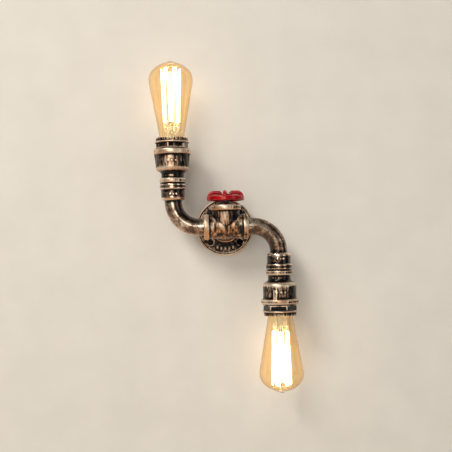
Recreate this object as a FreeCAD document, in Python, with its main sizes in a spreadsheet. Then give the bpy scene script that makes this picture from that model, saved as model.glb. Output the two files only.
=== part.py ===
import FreeCAD, Part
import math
import os
import Sketcher

# A wall light built from pipe fittings: wall flange, side-outlet tee, two sweep bends that turn up and
# down, two bell couplings with lampholders, two filament bulbs, and a red handwheel on a rotary switch.
#
# Frame: the wall is the plane y = 0 and the light stands out towards -Y. +Z is up and the origin is the
# centre of the flange's back face. Lengths are in millimetres.

Vector = FreeCAD.Vector
Rotation = FreeCAD.Rotation

# Driving dimensions, by the piece that they belong to
DIMENSIONS = {
    # wall flange and the nipple in its hub
    "flange_radius": 42.5,
    "flange_thickness": 5.0,
    "flange_rim_width": 2.2,
    "flange_rim_height": 1.4,
    "flange_hub_radius": 21.4,
    "flange_hub_height": 17.0,
    "flange_hub_foot": 3.0,
    "screw_count": 4,
    "screw_circle_radius": 31.0,
    "screw_hole_radius": 2.6,
    "screw_sink_radius": 5.0,
    "nipple_gap": 2.8,
    "nipple_seat": 4.5,
    "nipple_bore_radius": 13.2,
    # threads of the two pipe sizes, as plain cylinders, and the play of a made-up thread
    "branch_thread_radius": 16.7,
    "pipe_thread_radius": 12.5,
    "thread_play": 0.1,
    "edge_break": 0.9,
    # side-outlet tee
    "run_reach": 32.0,
    "run_radius": 17.4,
    "run_bead_radius": 18.3,
    "run_bead_width": 7.4,
    "run_thread_depth": 12.0,
    "branch_reach": 31.2,
    "branch_radius": 19.8,
    "branch_bead_radius": 22.2,
    "branch_bead_width": 7.9,
    "branch_thread_depth": 14.0,
    "tee_cavity_radius": 13.2,
    # bonnet and rotary switch
    "bonnet_thread_length": 11.6,
    "bonnet_sunk": 0.6,
    "bonnet_foot_radius": 14.2,
    "bonnet_neck_radius": 9.4,
    "bonnet_height": 3.2,
    "bonnet_skirt_wall": 3.4,
    "bonnet_panel": 6.2,
    "switch_radius": 11.8,
    "switch_length": 15.0,
    "bush_radius": 5.0,
    "bush_play": 0.1,
    "bush_stand": 0.4,
    "ring_nut_flats": 14.0,
    "ring_nut_height": 2.0,
    "spindle_radius": 3.0,
    "spindle_play": 0.06,
    "spindle_end_play": 0.3,
    "spindle_depth": 10.0,
    "spindle_flat": 2.1,
    # handwheel and its screw
    "wheel_lift": 6.2,
    "wheel_radius": 27.0,
    "wheel_rim_width": 5.6,
    "wheel_rim_height": 6.6,
    "wheel_rim_round": 2.2,
    "wheel_hub_radius": 6.8,
    "wheel_hub_height": 9.6,
    "spoke_count": 4,
    "spoke_radius": 2.5,
    "spoke_crown": 12.1,
    "spoke_outer_bend": 8.0,
    "spoke_inner_bend": 3.5,
    "spoke_web": 2.8,
    "washer_gap": 0.4,
    "washer_thickness": 0.6,
    "wheel_screw_radius": 1.5,
    "wheel_screw_length": 8.0,
    "wheel_screw_head_radius": 3.0,
    "wheel_screw_head_height": 1.8,
    # arms: sweep bend, nipple and bell coupling
    "half_span": 75.0,
    "pipe_radius": 12.4,
    "pipe_wall": 3.0,
    "bend_radius": 37.5,
    "collar_offset": 1.5,
    "collar_radius": 17.2,
    "collar_length": 15.6,
    "collar_round": 3.4,
    "bend_bead_radius": 18.9,
    "bend_bead_width": 8.4,
    "joint_gap": 0.6,
    "arm_thread_depth": 15.0,
    "small_bead_radius": 18.6,
    "small_bead_width": 7.6,
    "neck_radius": 16.2,
    "neck_length": 4.8,
    "flare_length": 10.0,
    "bell_radius": 24.0,
    "bell_length": 18.8,
    "band_radius": 26.7,
    "band_width": 8.2,
    "bell_bore_radius": 20.8,
    "bell_bore_depth": 23.0,
    "bell_throat_depth": 11.0,
    "rib_count": 2,
    "rib_width": 6.0,
    "rib_height": 2.1,
    # lampholder and its cap
    "seam_gap": 0.3,
    "cap_thread_length": 9.0,
    "hex_corner_radius": 24.2,
    "hex_height": 8.0,
    "lip_radius": 25.2,
    "lip_width": 2.2,
    "crown_foot_radius": 23.6,
    "crown_rim_radius": 22.4,
    "crown_height": 5.8,
    "crown_notch_count": 24,
    "crown_notch_width": 2.8,
    "crown_notch_depth": 4.4,
    "crown_wall": 3.0,
    "holder_play": 0.3,
    "cap_bore_radius": 19.0,
    "retainer_radius": 15.8,
    "retainer_width": 1.6,
    "holder_floor": 6.0,
    "shell_radius": 13.8,
    "shell_wall": 0.4,
    "shell_setback": 0.6,
    "contact_thickness": 0.8,
    "contact_rise": 1.4,
    "contact_width": 5.0,
    "contact_length": 20.0,
    "terminal_offset": 8.4,
    "terminal_screw_radius": 1.3,
    "terminal_head_radius": 2.3,
    "terminal_head_height": 1.5,
    # bulb
    "bulb_play": 0.3,
    "bulb_length": 142.0,
    "bulb_radius": 32.0,
    "bulb_wall": 0.9,
    "bulb_pip_radius": 5.4,
    "bulb_pip_height": 1.6,
    "dome_extra": 4.3,
    "shoulder_arc": 23.0,
    "bulb_neck_radius": 17.7,
    "bulb_cap_length": 27.0,
    "bulb_cap_radius": 13.1,
    "bulb_cap_wall": 0.4,
    "insulator_height": 5.6,
    "tip_radius": 4.8,
    "tip_height": 1.4,
    "glass_in_cap": 4.0,
    "stem_radius": 5.2,
    "stem_length": 34.0,
    "rod_radius": 1.3,
    "button_radius": 4.6,
    "button_height": 2.4,
    "button_clearance": 3.4,
    "hook_count": 6,
    "hook_bend": 2.0,
    "wire_radius": 0.35,
    "winding_radius": 0.6,
    "winding_height": 1.6,
    "end_share": 0.12,
    "cage_top_radius": 13.4,
    "cage_foot_radius": 11.4,
    "cage_top_drop": 5.0,
    "cage_foot_drop": 5.1,
    # wiring inside the pipes
    "lead_radius": 2.75,
    "lead_offset": 4.2,
    "lead_turn": 12.0,
    "block_width": 18.0,
    "block_length": 12.0,
    "block_height": 11.0,
    "block_setback": 8.0,
    "block_screw_pitch": 5.6,
    "block_screw_radius": 1.5,
    "block_screw_depth": 3.0,
    "switch_lead_radius": 1.2,
    "switch_lead_rise": 3.9,
    "switch_lead_tail": 1.3,
}

SHEET = "Sizes"
ARMS = ("upper", "lower")


class Size:
    """A length that carries its number and the sheet expression that it comes from."""

    def __init__(self, value, text):
        self.value = float(value)
        self.text = text

    def __add__(self, other):
        other = as_size(other)
        return Size(self.value + other.value, f"({self.text} + {other.text})")

    def __radd__(self, other):
        return as_size(other) + self

    def __sub__(self, other):
        other = as_size(other)
        return Size(self.value - other.value, f"({self.text} - {other.text})")

    def __rsub__(self, other):
        return as_size(other) - self

    def __mul__(self, other):
        other = as_size(other)
        return Size(self.value * other.value, f"({self.text} * {other.text})")

    def __rmul__(self, other):
        return as_size(other) * self

    def __truediv__(self, other):
        other = as_size(other)
        return Size(self.value / other.value, f"({self.text} / {other.text})")

    def __neg__(self):
        return Size(-self.value, f"(-{self.text})")


def as_size(number):
    if isinstance(number, Size):
        return number
    return Size(number, repr(number))


class Sheet:
    """The driving dimensions as attributes, each a Size bound to its cell."""

    def __init__(self, document):
        cells = document.addObject("Spreadsheet::Sheet", SHEET)
        for row, (alias, number) in enumerate(DIMENSIONS.items(), start=1):
            cells.set(f"A{row}", alias)
            cells.set(f"B{row}", str(number))
            cells.setAlias(f"B{row}", alias)
        document.recompute()
        for alias in DIMENSIONS:
            setattr(self, alias, Size(cells.get(alias), f"{SHEET}.{alias}"))


# Sketch helpers

def origin_feature(body, role):
    for feature in body.Origin.OriginFeatures:
        if feature.Role == role:
            return feature
    raise ValueError(role)


def new_body(label):
    body = doc.addObject("PartDesign::Body", label)
    body.Label = label
    return body


def new_sketch(body, role, name, offset=None):
    """A sketch on one of the body's own origin planes, lifted along its normal by offset."""
    sketch = body.newObject("Sketcher::SketchObject", name)
    sketch.AttachmentSupport = [(origin_feature(body, role), "")]
    sketch.MapMode = "FlatFace"
    if offset is not None:
        sketch.setExpression("AttachmentOffset.Base.z", as_size(offset).text)
    return sketch


def bind(sketch, constraint, size):
    """Adds a dimension and ties it to the sheet."""
    index = sketch.addConstraint(constraint)
    sketch.setExpression(f"Constraints[{index}]", size.text)


def pin(sketch, geometry, end, x, y):
    """Holds one point of the sketch at two sizes measured from the sketch's origin."""
    for kind, axis, size in (("DistanceX", -2, as_size(x)), ("DistanceY", -1, as_size(y))):
        if size.value == 0:
            sketch.addConstraint(Sketcher.Constraint("PointOnObject", geometry, end, axis))
        else:
            bind(sketch, Sketcher.Constraint(kind, -1, 1, geometry, end, size.value), size)


def arc_between(start, end, radius, centre_left):
    """The shorter arc from start to end, with its centre on the left or right of the way."""
    middle = (start + end) * 0.5
    way = end - start
    side = Vector(-way.y, way.x, 0).normalize()
    rise = math.sqrt(max(radius**2 - (way.Length / 2) ** 2, 0))
    centre = middle + side * (rise if centre_left else -rise)
    first, last = (start, end) if centre_left else (end, start)
    angles = [math.atan2(p.y - centre.y, p.x - centre.x) for p in (first, last)]
    circle = Part.Circle(centre, Vector(0, 0, 1), radius)
    return Part.ArcOfCircle(circle, angles[0], angles[1])


def trace(sketch, corners, closed=True):
    """Draws a line through corners, each (x, y) or, where an arc leads to it, (x, y, radius, side)."""
    points = [Vector(as_size(c[0]).value, as_size(c[1]).value, 0) for c in corners]
    count = len(corners) if closed else len(corners) - 1
    first_ends = []
    last_ends = []
    start_index = sketch.GeometryCount
    for i in range(count):
        start = points[i]
        following = corners[(i + 1) % len(corners)]
        end = points[(i + 1) % len(corners)]
        if len(following) == 2:
            sketch.addGeometry(Part.LineSegment(start, end), False)
            first_ends.append(1)
            last_ends.append(2)
        else:
            centre_left = following[3] == "left"
            radius = as_size(following[2])
            sketch.addGeometry(arc_between(start, end, radius.value, centre_left), False)
            first_ends.append(1 if centre_left else 2)
            last_ends.append(2 if centre_left else 1)
            bind(sketch, Sketcher.Constraint("Radius", start_index + i, radius.value), radius)
    for i in range(count if closed else count - 1):
        after = (i + 1) % count
        sketch.addConstraint(
            Sketcher.Constraint(
                "Coincident", start_index + i, last_ends[i], start_index + after, first_ends[after]
            )
        )
    if not closed:
        pin(sketch, start_index, first_ends[0], corners[0][0], corners[0][1])
    for i in range(count):
        corner = corners[(i + 1) % len(corners)]
        pin(sketch, start_index + i, last_ends[i], corner[0], corner[1])


def circle_at(sketch, x, y, radius):
    index = sketch.addGeometry(
        Part.Circle(Vector(as_size(x).value, as_size(y).value, 0), Vector(0, 0, 1), radius.value), False
    )
    pin(sketch, index, 3, x, y)
    bind(sketch, Sketcher.Constraint("Radius", index, radius.value), radius)


def regular_polygon(sketch, sides, corner_radius):
    """A regular polygon about the sketch's origin, with one corner on the horizontal axis."""
    spots = []
    for i in range(sides):
        angle = 2 * math.pi * i / sides
        spots.append(Vector(math.cos(angle), math.sin(angle), 0) * corner_radius.value)
    circle = sketch.addGeometry(Part.Circle(Vector(0, 0, 0), Vector(0, 0, 1), corner_radius.value), True)
    sketch.addConstraint(Sketcher.Constraint("Coincident", circle, 3, -1, 1))
    bind(sketch, Sketcher.Constraint("Radius", circle, corner_radius.value), corner_radius)
    first = circle + 1
    for i in range(sides):
        sketch.addGeometry(Part.LineSegment(spots[i], spots[(i + 1) % sides]), False)
    for i in range(sides):
        sketch.addConstraint(
            Sketcher.Constraint("Coincident", first + i, 2, first + (i + 1) % sides, 1)
        )
        sketch.addConstraint(Sketcher.Constraint("PointOnObject", first + i, 1, circle))
    for i in range(1, sides):
        sketch.addConstraint(Sketcher.Constraint("Equal", first, first + i))
    sketch.addConstraint(Sketcher.Constraint("PointOnObject", first, 1, -1))


# Feature helpers

def revolve(body, sketch, name, axis="V_Axis", cut=False):
    kind = "PartDesign::Groove" if cut else "PartDesign::Revolution"
    feature = body.newObject(kind, name)
    feature.Profile = sketch
    feature.ReferenceAxis = (sketch, [axis])
    feature.Angle = 360
    doc.recompute()
    return feature


def turned(label, corners):
    """A body turned about its own Z axis, from an outline of (radius, height) corners."""
    body = new_body(label)
    sketch = new_sketch(body, "XZ_Plane", "Outline")
    trace(sketch, corners)
    revolve(body, sketch, "Turning")
    return body


def extrude(body, sketch, name, length, symmetric=False, cut=False, reverse=False):
    feature = body.newObject("PartDesign::Pocket" if cut else "PartDesign::Pad", name)
    feature.Profile = sketch
    feature.setExpression("Length", as_size(length).text)
    if symmetric:
        feature.SideType = "Symmetric"
    feature.Reversed = reverse
    volume_before = 0 if body.Shape.isNull() else body.Shape.Volume
    doc.recompute()
    grown = body.Shape.Volume - volume_before
    if (grown > 0) == cut:
        raise RuntimeError(f"{body.Label}: {name} went the wrong way")
    return feature


def pattern_round(body, features, name, count):
    """Repeats features evenly round the body's own Z axis."""
    pattern = body.newObject("PartDesign::PolarPattern", name)
    pattern.Originals = features
    pattern.Axis = (origin_feature(body, "Z_Axis"), [""])
    pattern.Angle = 360
    pattern.setExpression("Occurrences", count.text)
    body.Tip = pattern
    doc.recompute()
    return pattern


def sweep(body, profile, path, name):
    feature = body.newObject("PartDesign::AdditivePipe", name)
    feature.Profile = profile
    feature.Spine = (path, [f"Edge{i + 1}" for i in range(path.GeometryCount)])
    doc.recompute()
    return feature


def round_wire(points, bends, radius):
    """A tube through points, straight between them and turned at each by an arc of its own radius."""
    edges = []
    start = points[0]
    for i, bend in enumerate(bends, start=1):
        before = (points[i - 1] - points[i]).normalize()
        after = (points[i + 1] - points[i]).normalize()
        cut = bend / math.tan(before.getAngle(after) / 2)
        first = points[i] + before * cut
        last = points[i] + after * cut
        middle = points[i] + (before + after).normalize() * (math.hypot(cut, bend) - bend)
        edges.append(Part.makeLine(start, first))
        edges.append(Part.Arc(first, middle, last).toShape())
        start = last
    edges.append(Part.makeLine(start, points[-1]))
    path = Part.Wire(edges)
    section = Part.Wire(Part.makeCircle(radius, points[0], points[1] - points[0]))
    tube = path.makePipeShell([section], True, False)
    expected = math.pi * radius**2 * path.Length
    if abs(tube.Volume - expected) > 0.01 * expected:
        raise RuntimeError(f"a wire's volume is {tube.Volume}, not {expected}")
    return tube


def place(body, x=0, y=0, z=0, rotation=None):
    """Puts a body in the frame, with its place tied to the sheet."""
    if rotation is not None:
        body.Placement = FreeCAD.Placement(Vector(0, 0, 0), rotation)
    for axis, size in zip("xyz", (x, y, z)):
        body.setExpression(f"Placement.Base.{axis}", as_size(size).text)
    sub_parts.append(body)


def wire_part(label, shape):
    """A sub-part of drawn wire, whose path through space no sketch can hold."""
    feature = doc.addObject("Part::Feature", label)
    feature.Label = label
    feature.Shape = shape
    return feature


# The ways that pieces stand in the frame

FROM_WALL = Rotation(Vector(1, 0, 0), 90)
HALF_TURN = Rotation(Vector(0, 1, 0), 180)
UPRIGHT = Rotation()
# The wheel and its spindle rest a little round from square
WHEEL_AT_REST = Rotation(Vector(0, 0, 1), -5)


def place_at_tee(body, rotation=None):
    place(body, 0, -stand_off, 0, rotation)


def place_on_arm(body, arm, turn=0):
    """Local Z runs from the tee's axis out along the arm, and local X points back to the tee."""
    about_axis = Rotation(Vector(0, 0, 1), turn)
    if arm == "upper":
        place(body, -dim.half_span, -stand_off, 0, about_axis)
    else:
        place(body, dim.half_span, -stand_off, 0, HALF_TURN * about_axis)


def place_in_bulb(body, arm):
    """Local Z runs from the bulb's tip back to its cap."""
    if arm == "upper":
        place(body, -dim.half_span, -stand_off, tip_reach, Rotation(Vector(1, 0, 0), 180))
    else:
        place(body, dim.half_span, -stand_off, -tip_reach, UPRIGHT)


# Wall flange, nipple and tee

def make_wall_flange():
    body = turned(
        "wall_flange",
        [
            (dim.nipple_bore_radius, 0),
            (dim.flange_radius - dim.edge_break, 0),
            (dim.flange_radius, dim.edge_break),
            (dim.flange_radius, flange_rim_top - dim.edge_break),
            (dim.flange_radius - dim.edge_break, flange_rim_top),
            (dim.flange_radius - dim.flange_rim_width, flange_rim_top),
            (dim.flange_radius - dim.flange_rim_width - dim.flange_rim_height, dim.flange_thickness),
            (dim.flange_hub_radius + dim.flange_hub_foot, dim.flange_thickness),
            (
                dim.flange_hub_radius,
                dim.flange_thickness + dim.flange_hub_foot,
                dim.flange_hub_foot,
                "right",
            ),
            (dim.flange_hub_radius, dim.flange_hub_height - dim.edge_break),
            (dim.flange_hub_radius - dim.edge_break, dim.flange_hub_height),
            (dim.branch_thread_radius, dim.flange_hub_height),
            (dim.branch_thread_radius, dim.nipple_seat),
            (dim.nipple_bore_radius, dim.nipple_seat),
        ],
    )
    holes = new_sketch(body, "XY_Plane", "ScrewHole", offset=dim.flange_thickness)
    circle_at(holes, dim.screw_circle_radius, 0, dim.screw_hole_radius)
    drilled = extrude(body, holes, "ScrewHoles", dim.flange_thickness, cut=True)
    sinks = new_sketch(body, "XZ_Plane", "Countersink")
    sink_depth = dim.screw_sink_radius - dim.screw_hole_radius
    trace(
        sinks,
        [
            (dim.screw_circle_radius, dim.flange_thickness - sink_depth),
            (dim.screw_circle_radius + dim.screw_hole_radius, dim.flange_thickness - sink_depth),
            (dim.screw_circle_radius + dim.screw_sink_radius, dim.flange_thickness),
            (dim.screw_circle_radius, dim.flange_thickness),
        ],
    )
    sunk = body.newObject("PartDesign::Groove", "Countersinks")
    sunk.Profile = sinks
    sunk.ReferenceAxis = (sinks, ["Edge4"])
    sunk.Angle = 360
    doc.recompute()
    pattern_round(body, [drilled, sunk], "ScrewPattern", dim.screw_count)
    eighth_turn = Rotation(Vector(0, 0, 1), 45)
    place(body, 0, 0, 0, FROM_WALL * eighth_turn)


def make_wall_nipple():
    body = turned(
        "wall_nipple",
        [
            (dim.nipple_bore_radius, dim.nipple_seat),
            (branch_male_radius, dim.nipple_seat),
            (branch_male_radius, nipple_end),
            (dim.nipple_bore_radius, nipple_end),
        ],
    )
    place(body, 0, 0, 0, FROM_WALL)


def branch_outline():
    """Half outline of the larger outlets, as (radius, height) from the tee's centre."""
    return [
        (0, 0),
        (dim.run_radius, 0),
        (dim.branch_radius, dim.branch_reach - dim.branch_bead_width),
        (dim.branch_bead_radius - dim.edge_break, dim.branch_reach - dim.branch_bead_width),
        (dim.branch_bead_radius, dim.branch_reach - dim.branch_bead_width + dim.edge_break),
        (dim.branch_bead_radius, dim.branch_reach - dim.edge_break),
        (dim.branch_bead_radius - dim.edge_break, dim.branch_reach),
        (0, dim.branch_reach),
    ]


def branch_bore():
    bottom = dim.branch_reach - dim.branch_thread_depth
    return [
        (0, 0),
        (dim.tee_cavity_radius, 0),
        (dim.tee_cavity_radius, bottom),
        (dim.branch_thread_radius, bottom),
        (dim.branch_thread_radius, dim.branch_reach),
        (0, dim.branch_reach),
    ]


def swap(corners):
    """The same outline with its axis along the sketch's first direction."""
    return [(y, x) for x, y in corners]


def run_outline():
    """Outline of the run, as (distance along it, radius)."""
    inner = dim.run_reach - dim.run_bead_width
    half = [
        (dim.run_reach, 0),
        (dim.run_reach, dim.run_bead_radius - dim.edge_break),
        (dim.run_reach - dim.edge_break, dim.run_bead_radius),
        (inner + dim.edge_break, dim.run_bead_radius),
        (inner, dim.run_radius),
    ]
    return half + [(-x, radius) for x, radius in reversed(half)]


def run_bore():
    inner = dim.run_reach - dim.run_thread_depth
    half = [
        (dim.run_reach, 0),
        (dim.run_reach, dim.pipe_thread_radius),
        (inner, dim.pipe_thread_radius),
        (inner, dim.tee_cavity_radius),
    ]
    return half + [(-x, radius) for x, radius in reversed(half)]


def make_tee():
    body = new_body("tee")
    steps = [
        ("Run", "XZ_Plane", run_outline(), "H_Axis", False),
        ("UpperOutlet", "XZ_Plane", branch_outline(), "V_Axis", False),
        ("BackOutlet", "YZ_Plane", swap(branch_outline()), "H_Axis", False),
        ("RunBore", "XZ_Plane", run_bore(), "H_Axis", True),
        ("UpperBore", "XZ_Plane", branch_bore(), "V_Axis", True),
        ("BackBore", "YZ_Plane", swap(branch_bore()), "H_Axis", True),
    ]
    for name, plane, corners, axis, cut in steps:
        sketch = new_sketch(body, plane, name + "Outline")
        trace(sketch, corners)
        revolve(body, sketch, name, axis, cut)
    place_at_tee(body)


# Bonnet and rotary switch, in heights above the tee's axis

def make_bonnet():
    body = turned(
        "bonnet",
        [
            (switch_pocket_radius, switch_seat),
            (switch_pocket_radius, bonnet_shoulder - dim.bonnet_thread_length),
            (branch_male_radius, bonnet_shoulder - dim.bonnet_thread_length),
            (branch_male_radius, bonnet_shoulder),
            (dim.bonnet_foot_radius, bonnet_shoulder),
            (dim.bonnet_foot_radius, bonnet_shoulder + dim.edge_break),
            (dim.bonnet_neck_radius, bonnet_top),
            (bush_hole_radius, bonnet_top),
            (bush_hole_radius, switch_seat),
        ],
    )
    place_at_tee(body)


def make_bonnet_nut():
    body = new_body("bonnet_nut")
    sketch = new_sketch(body, "XY_Plane", "Hexagon", offset=bonnet_top)
    regular_polygon(sketch, 6, dim.ring_nut_flats / math.sqrt(3))
    circle_at(sketch, 0, 0, bush_hole_radius)
    extrude(body, sketch, "Nut", dim.ring_nut_height)
    place_at_tee(body)


def make_switch_body():
    spindle_hole = dim.spindle_radius + dim.spindle_play
    body = turned(
        "switch_body",
        [
            (0, switch_bottom),
            (dim.switch_radius, switch_bottom),
            (dim.switch_radius, switch_seat),
            (dim.bush_radius, switch_seat),
            (dim.bush_radius, bush_top),
            (spindle_hole, bush_top),
            (spindle_hole, spindle_foot - dim.spindle_end_play),
            (0, spindle_foot - dim.spindle_end_play),
        ],
    )
    place_at_tee(body)


def make_switch_spindle():
    """Round shaft with a flat where the wheel sits, and a tapped hole in its end."""
    body = turned(
        "switch_spindle",
        [
            (0, spindle_foot),
            (dim.spindle_radius, spindle_foot),
            (dim.spindle_radius, spindle_top),
            (screw_hole, spindle_top),
            (screw_hole, spindle_top - dim.wheel_screw_length),
            (0, spindle_top - dim.wheel_screw_length),
        ],
    )
    sketch = new_sketch(body, "XY_Plane", "FlatOutline", offset=wheel_bottom)
    trace(
        sketch,
        [
            (dim.spindle_flat, -dim.spindle_radius),
            (dim.spindle_radius + dim.spindle_play, -dim.spindle_radius),
            (dim.spindle_radius + dim.spindle_play, dim.spindle_radius),
            (dim.spindle_flat, dim.spindle_radius),
        ],
    )
    extrude(body, sketch, "Flat", dim.wheel_hub_height, cut=True, reverse=True)
    place_at_tee(body, WHEEL_AT_REST)


# Handwheel: a flat-bottomed rim, a hub, and round spokes that arch up from the rim and down to the hub,
# each with a thinner web under its arch

def make_handwheel():
    body = new_body("handwheel")
    hub = new_sketch(body, "XZ_Plane", "HubOutline")
    hub_top = wheel_bottom + dim.wheel_hub_height
    trace(
        hub,
        [
            (0, wheel_bottom),
            (dim.wheel_hub_radius - dim.edge_break, wheel_bottom),
            (dim.wheel_hub_radius, wheel_bottom + dim.edge_break),
            (dim.wheel_hub_radius, hub_top - dim.edge_break),
            (dim.wheel_hub_radius - dim.edge_break, hub_top),
            (0, hub_top),
        ],
    )
    revolve(body, hub, "Hub")

    rim_middle = dim.wheel_radius - dim.wheel_rim_width / 2
    spoke_foot = wheel_bottom + dim.wheel_rim_height / 2
    crown = wheel_bottom + dim.spoke_crown
    inner_foot = dim.wheel_hub_radius
    arch = [
        (rim_middle, spoke_foot),
        (rim_middle, crown - dim.spoke_outer_bend),
        (rim_middle - dim.spoke_outer_bend, crown, dim.spoke_outer_bend, "left"),
        (inner_foot + dim.spoke_inner_bend, crown),
        (inner_foot, crown - dim.spoke_inner_bend, dim.spoke_inner_bend, "left"),
        (inner_foot, spoke_foot),
    ]
    path = new_sketch(body, "XZ_Plane", "SpokePath")
    trace(path, arch, closed=False)
    section = new_sketch(body, "XY_Plane", "SpokeSection", offset=spoke_foot)
    circle_at(section, rim_middle, 0, dim.spoke_radius)
    spoke = sweep(body, section, path, "Spoke")
    web = new_sketch(body, "XZ_Plane", "WebOutline")
    trace(web, arch)
    webbed = extrude(body, web, "Web", dim.spoke_web, symmetric=True)
    pattern_round(body, [spoke, webbed], "Spokes", dim.spoke_count)

    rim = new_sketch(body, "XZ_Plane", "RimOutline")
    rim_top = wheel_bottom + dim.wheel_rim_height
    inner = dim.wheel_radius - dim.wheel_rim_width
    trace(
        rim,
        [
            (inner + dim.edge_break, wheel_bottom),
            (dim.wheel_radius - dim.edge_break, wheel_bottom),
            (dim.wheel_radius, wheel_bottom + dim.edge_break),
            (dim.wheel_radius, rim_top - dim.wheel_rim_round),
            (dim.wheel_radius - dim.wheel_rim_round, rim_top, dim.wheel_rim_round, "left"),
            (inner + dim.wheel_rim_round, rim_top),
            (inner, rim_top - dim.wheel_rim_round, dim.wheel_rim_round, "left"),
            (inner, wheel_bottom + dim.edge_break),
        ],
    )
    revolve(body, rim, "Rim")

    hole = new_sketch(body, "XY_Plane", "HubHole", offset=wheel_bottom)
    flatted_circle(hole, dim.spindle_radius + dim.spindle_play, dim.spindle_flat + dim.spindle_play)
    extrude(body, hole, "HubBore", dim.wheel_hub_height, cut=True, reverse=True)
    place_at_tee(body, WHEEL_AT_REST)


def flatted_circle(sketch, radius, flat):
    """A circle about the sketch's origin with one flat across it at the given distance."""
    half = math.sqrt(radius.value**2 - flat.value**2)
    angle = math.atan2(half, flat.value)
    circle = Part.Circle(Vector(0, 0, 0), Vector(0, 0, 1), radius.value)
    arc = sketch.addGeometry(Part.ArcOfCircle(circle, angle, 2 * math.pi - angle), False)
    line = sketch.addGeometry(
        Part.LineSegment(Vector(flat.value, -half, 0), Vector(flat.value, half, 0)), False
    )
    sketch.addConstraint(Sketcher.Constraint("Coincident", arc, 3, -1, 1))
    sketch.addConstraint(Sketcher.Constraint("Coincident", arc, 2, line, 1))
    sketch.addConstraint(Sketcher.Constraint("Coincident", line, 2, arc, 1))
    sketch.addConstraint(Sketcher.Constraint("Vertical", line))
    bind(sketch, Sketcher.Constraint("Radius", arc, radius.value), radius)
    bind(sketch, Sketcher.Constraint("DistanceX", -1, 1, line, 1, flat.value), flat)


def make_wheel_fastening():
    hub_top = wheel_bottom + dim.wheel_hub_height
    washer_top = hub_top + dim.washer_thickness
    head_top = washer_top + dim.wheel_screw_head_height
    washer_radius = dim.wheel_hub_radius - dim.spoke_radius - dim.washer_gap
    washer = turned(
        "wheel_washer",
        [
            (screw_hole, hub_top),
            (washer_radius, hub_top),
            (washer_radius, washer_top),
            (screw_hole, washer_top),
        ],
    )
    place_at_tee(washer)
    screw = turned(
        "wheel_screw",
        [
            (0, spindle_top - dim.wheel_screw_length + dim.washer_thickness),
            (dim.wheel_screw_radius, spindle_top - dim.wheel_screw_length + dim.washer_thickness),
            (dim.wheel_screw_radius, washer_top),
            (dim.wheel_screw_head_radius, washer_top),
            (dim.wheel_screw_head_radius, head_top - dim.edge_break),
            (dim.wheel_screw_head_radius - dim.edge_break, head_top, dim.edge_break, "left"),
            (0, head_top),
        ],
    )
    place_at_tee(screw)


# Arms: local heights run from the tee's axis out along the arm

def make_bend(arm):
    """Sweep bend: plain end in the tee, quarter turn, then a socket with a rounded shoulder and a bead."""
    body = new_body(f"{arm}_bend")
    path = new_sketch(body, "XZ_Plane", "Centreline")
    trace(
        path,
        [
            (bend_start, 0),
            (dim.bend_radius, 0),
            (0, dim.bend_radius, dim.bend_radius, "right"),
            (0, collar_start + dim.collar_round),
        ],
        closed=False,
    )
    section = new_sketch(body, "YZ_Plane", "PipeSection", offset=bend_start)
    circle_at(section, 0, 0, dim.pipe_radius)
    circle_at(section, 0, 0, pipe_bore)
    sweep(body, section, path, "Pipe")
    socket = new_sketch(body, "XZ_Plane", "SocketOutline")
    trace(
        socket,
        [
            (pipe_bore, collar_start),
            (dim.collar_radius - dim.collar_round, collar_start),
            (
                dim.collar_radius,
                collar_start + dim.collar_round,
                dim.collar_round,
                "left",
            ),
            (dim.collar_radius, bend_bead_start),
            (dim.bend_bead_radius - dim.edge_break, bend_bead_start),
            (dim.bend_bead_radius, bend_bead_start + dim.edge_break),
            (dim.bend_bead_radius, bend_end - dim.edge_break),
            (dim.bend_bead_radius - dim.edge_break, bend_end),
            (dim.pipe_thread_radius, bend_end),
            (dim.pipe_thread_radius, bend_end - dim.arm_thread_depth),
            (pipe_bore, bend_end - dim.arm_thread_depth),
        ],
    )
    revolve(body, socket, "Socket")
    place_on_arm(body, arm)


def make_arm_nipple(arm):
    body = turned(
        f"{arm}_nipple",
        [
            (pipe_bore, bend_end - dim.arm_thread_depth),
            (pipe_male_radius, bend_end - dim.arm_thread_depth),
            (pipe_male_radius, coupling_start + dim.arm_thread_depth),
            (pipe_bore, coupling_start + dim.arm_thread_depth),
        ],
    )
    place_on_arm(body, arm)


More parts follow.
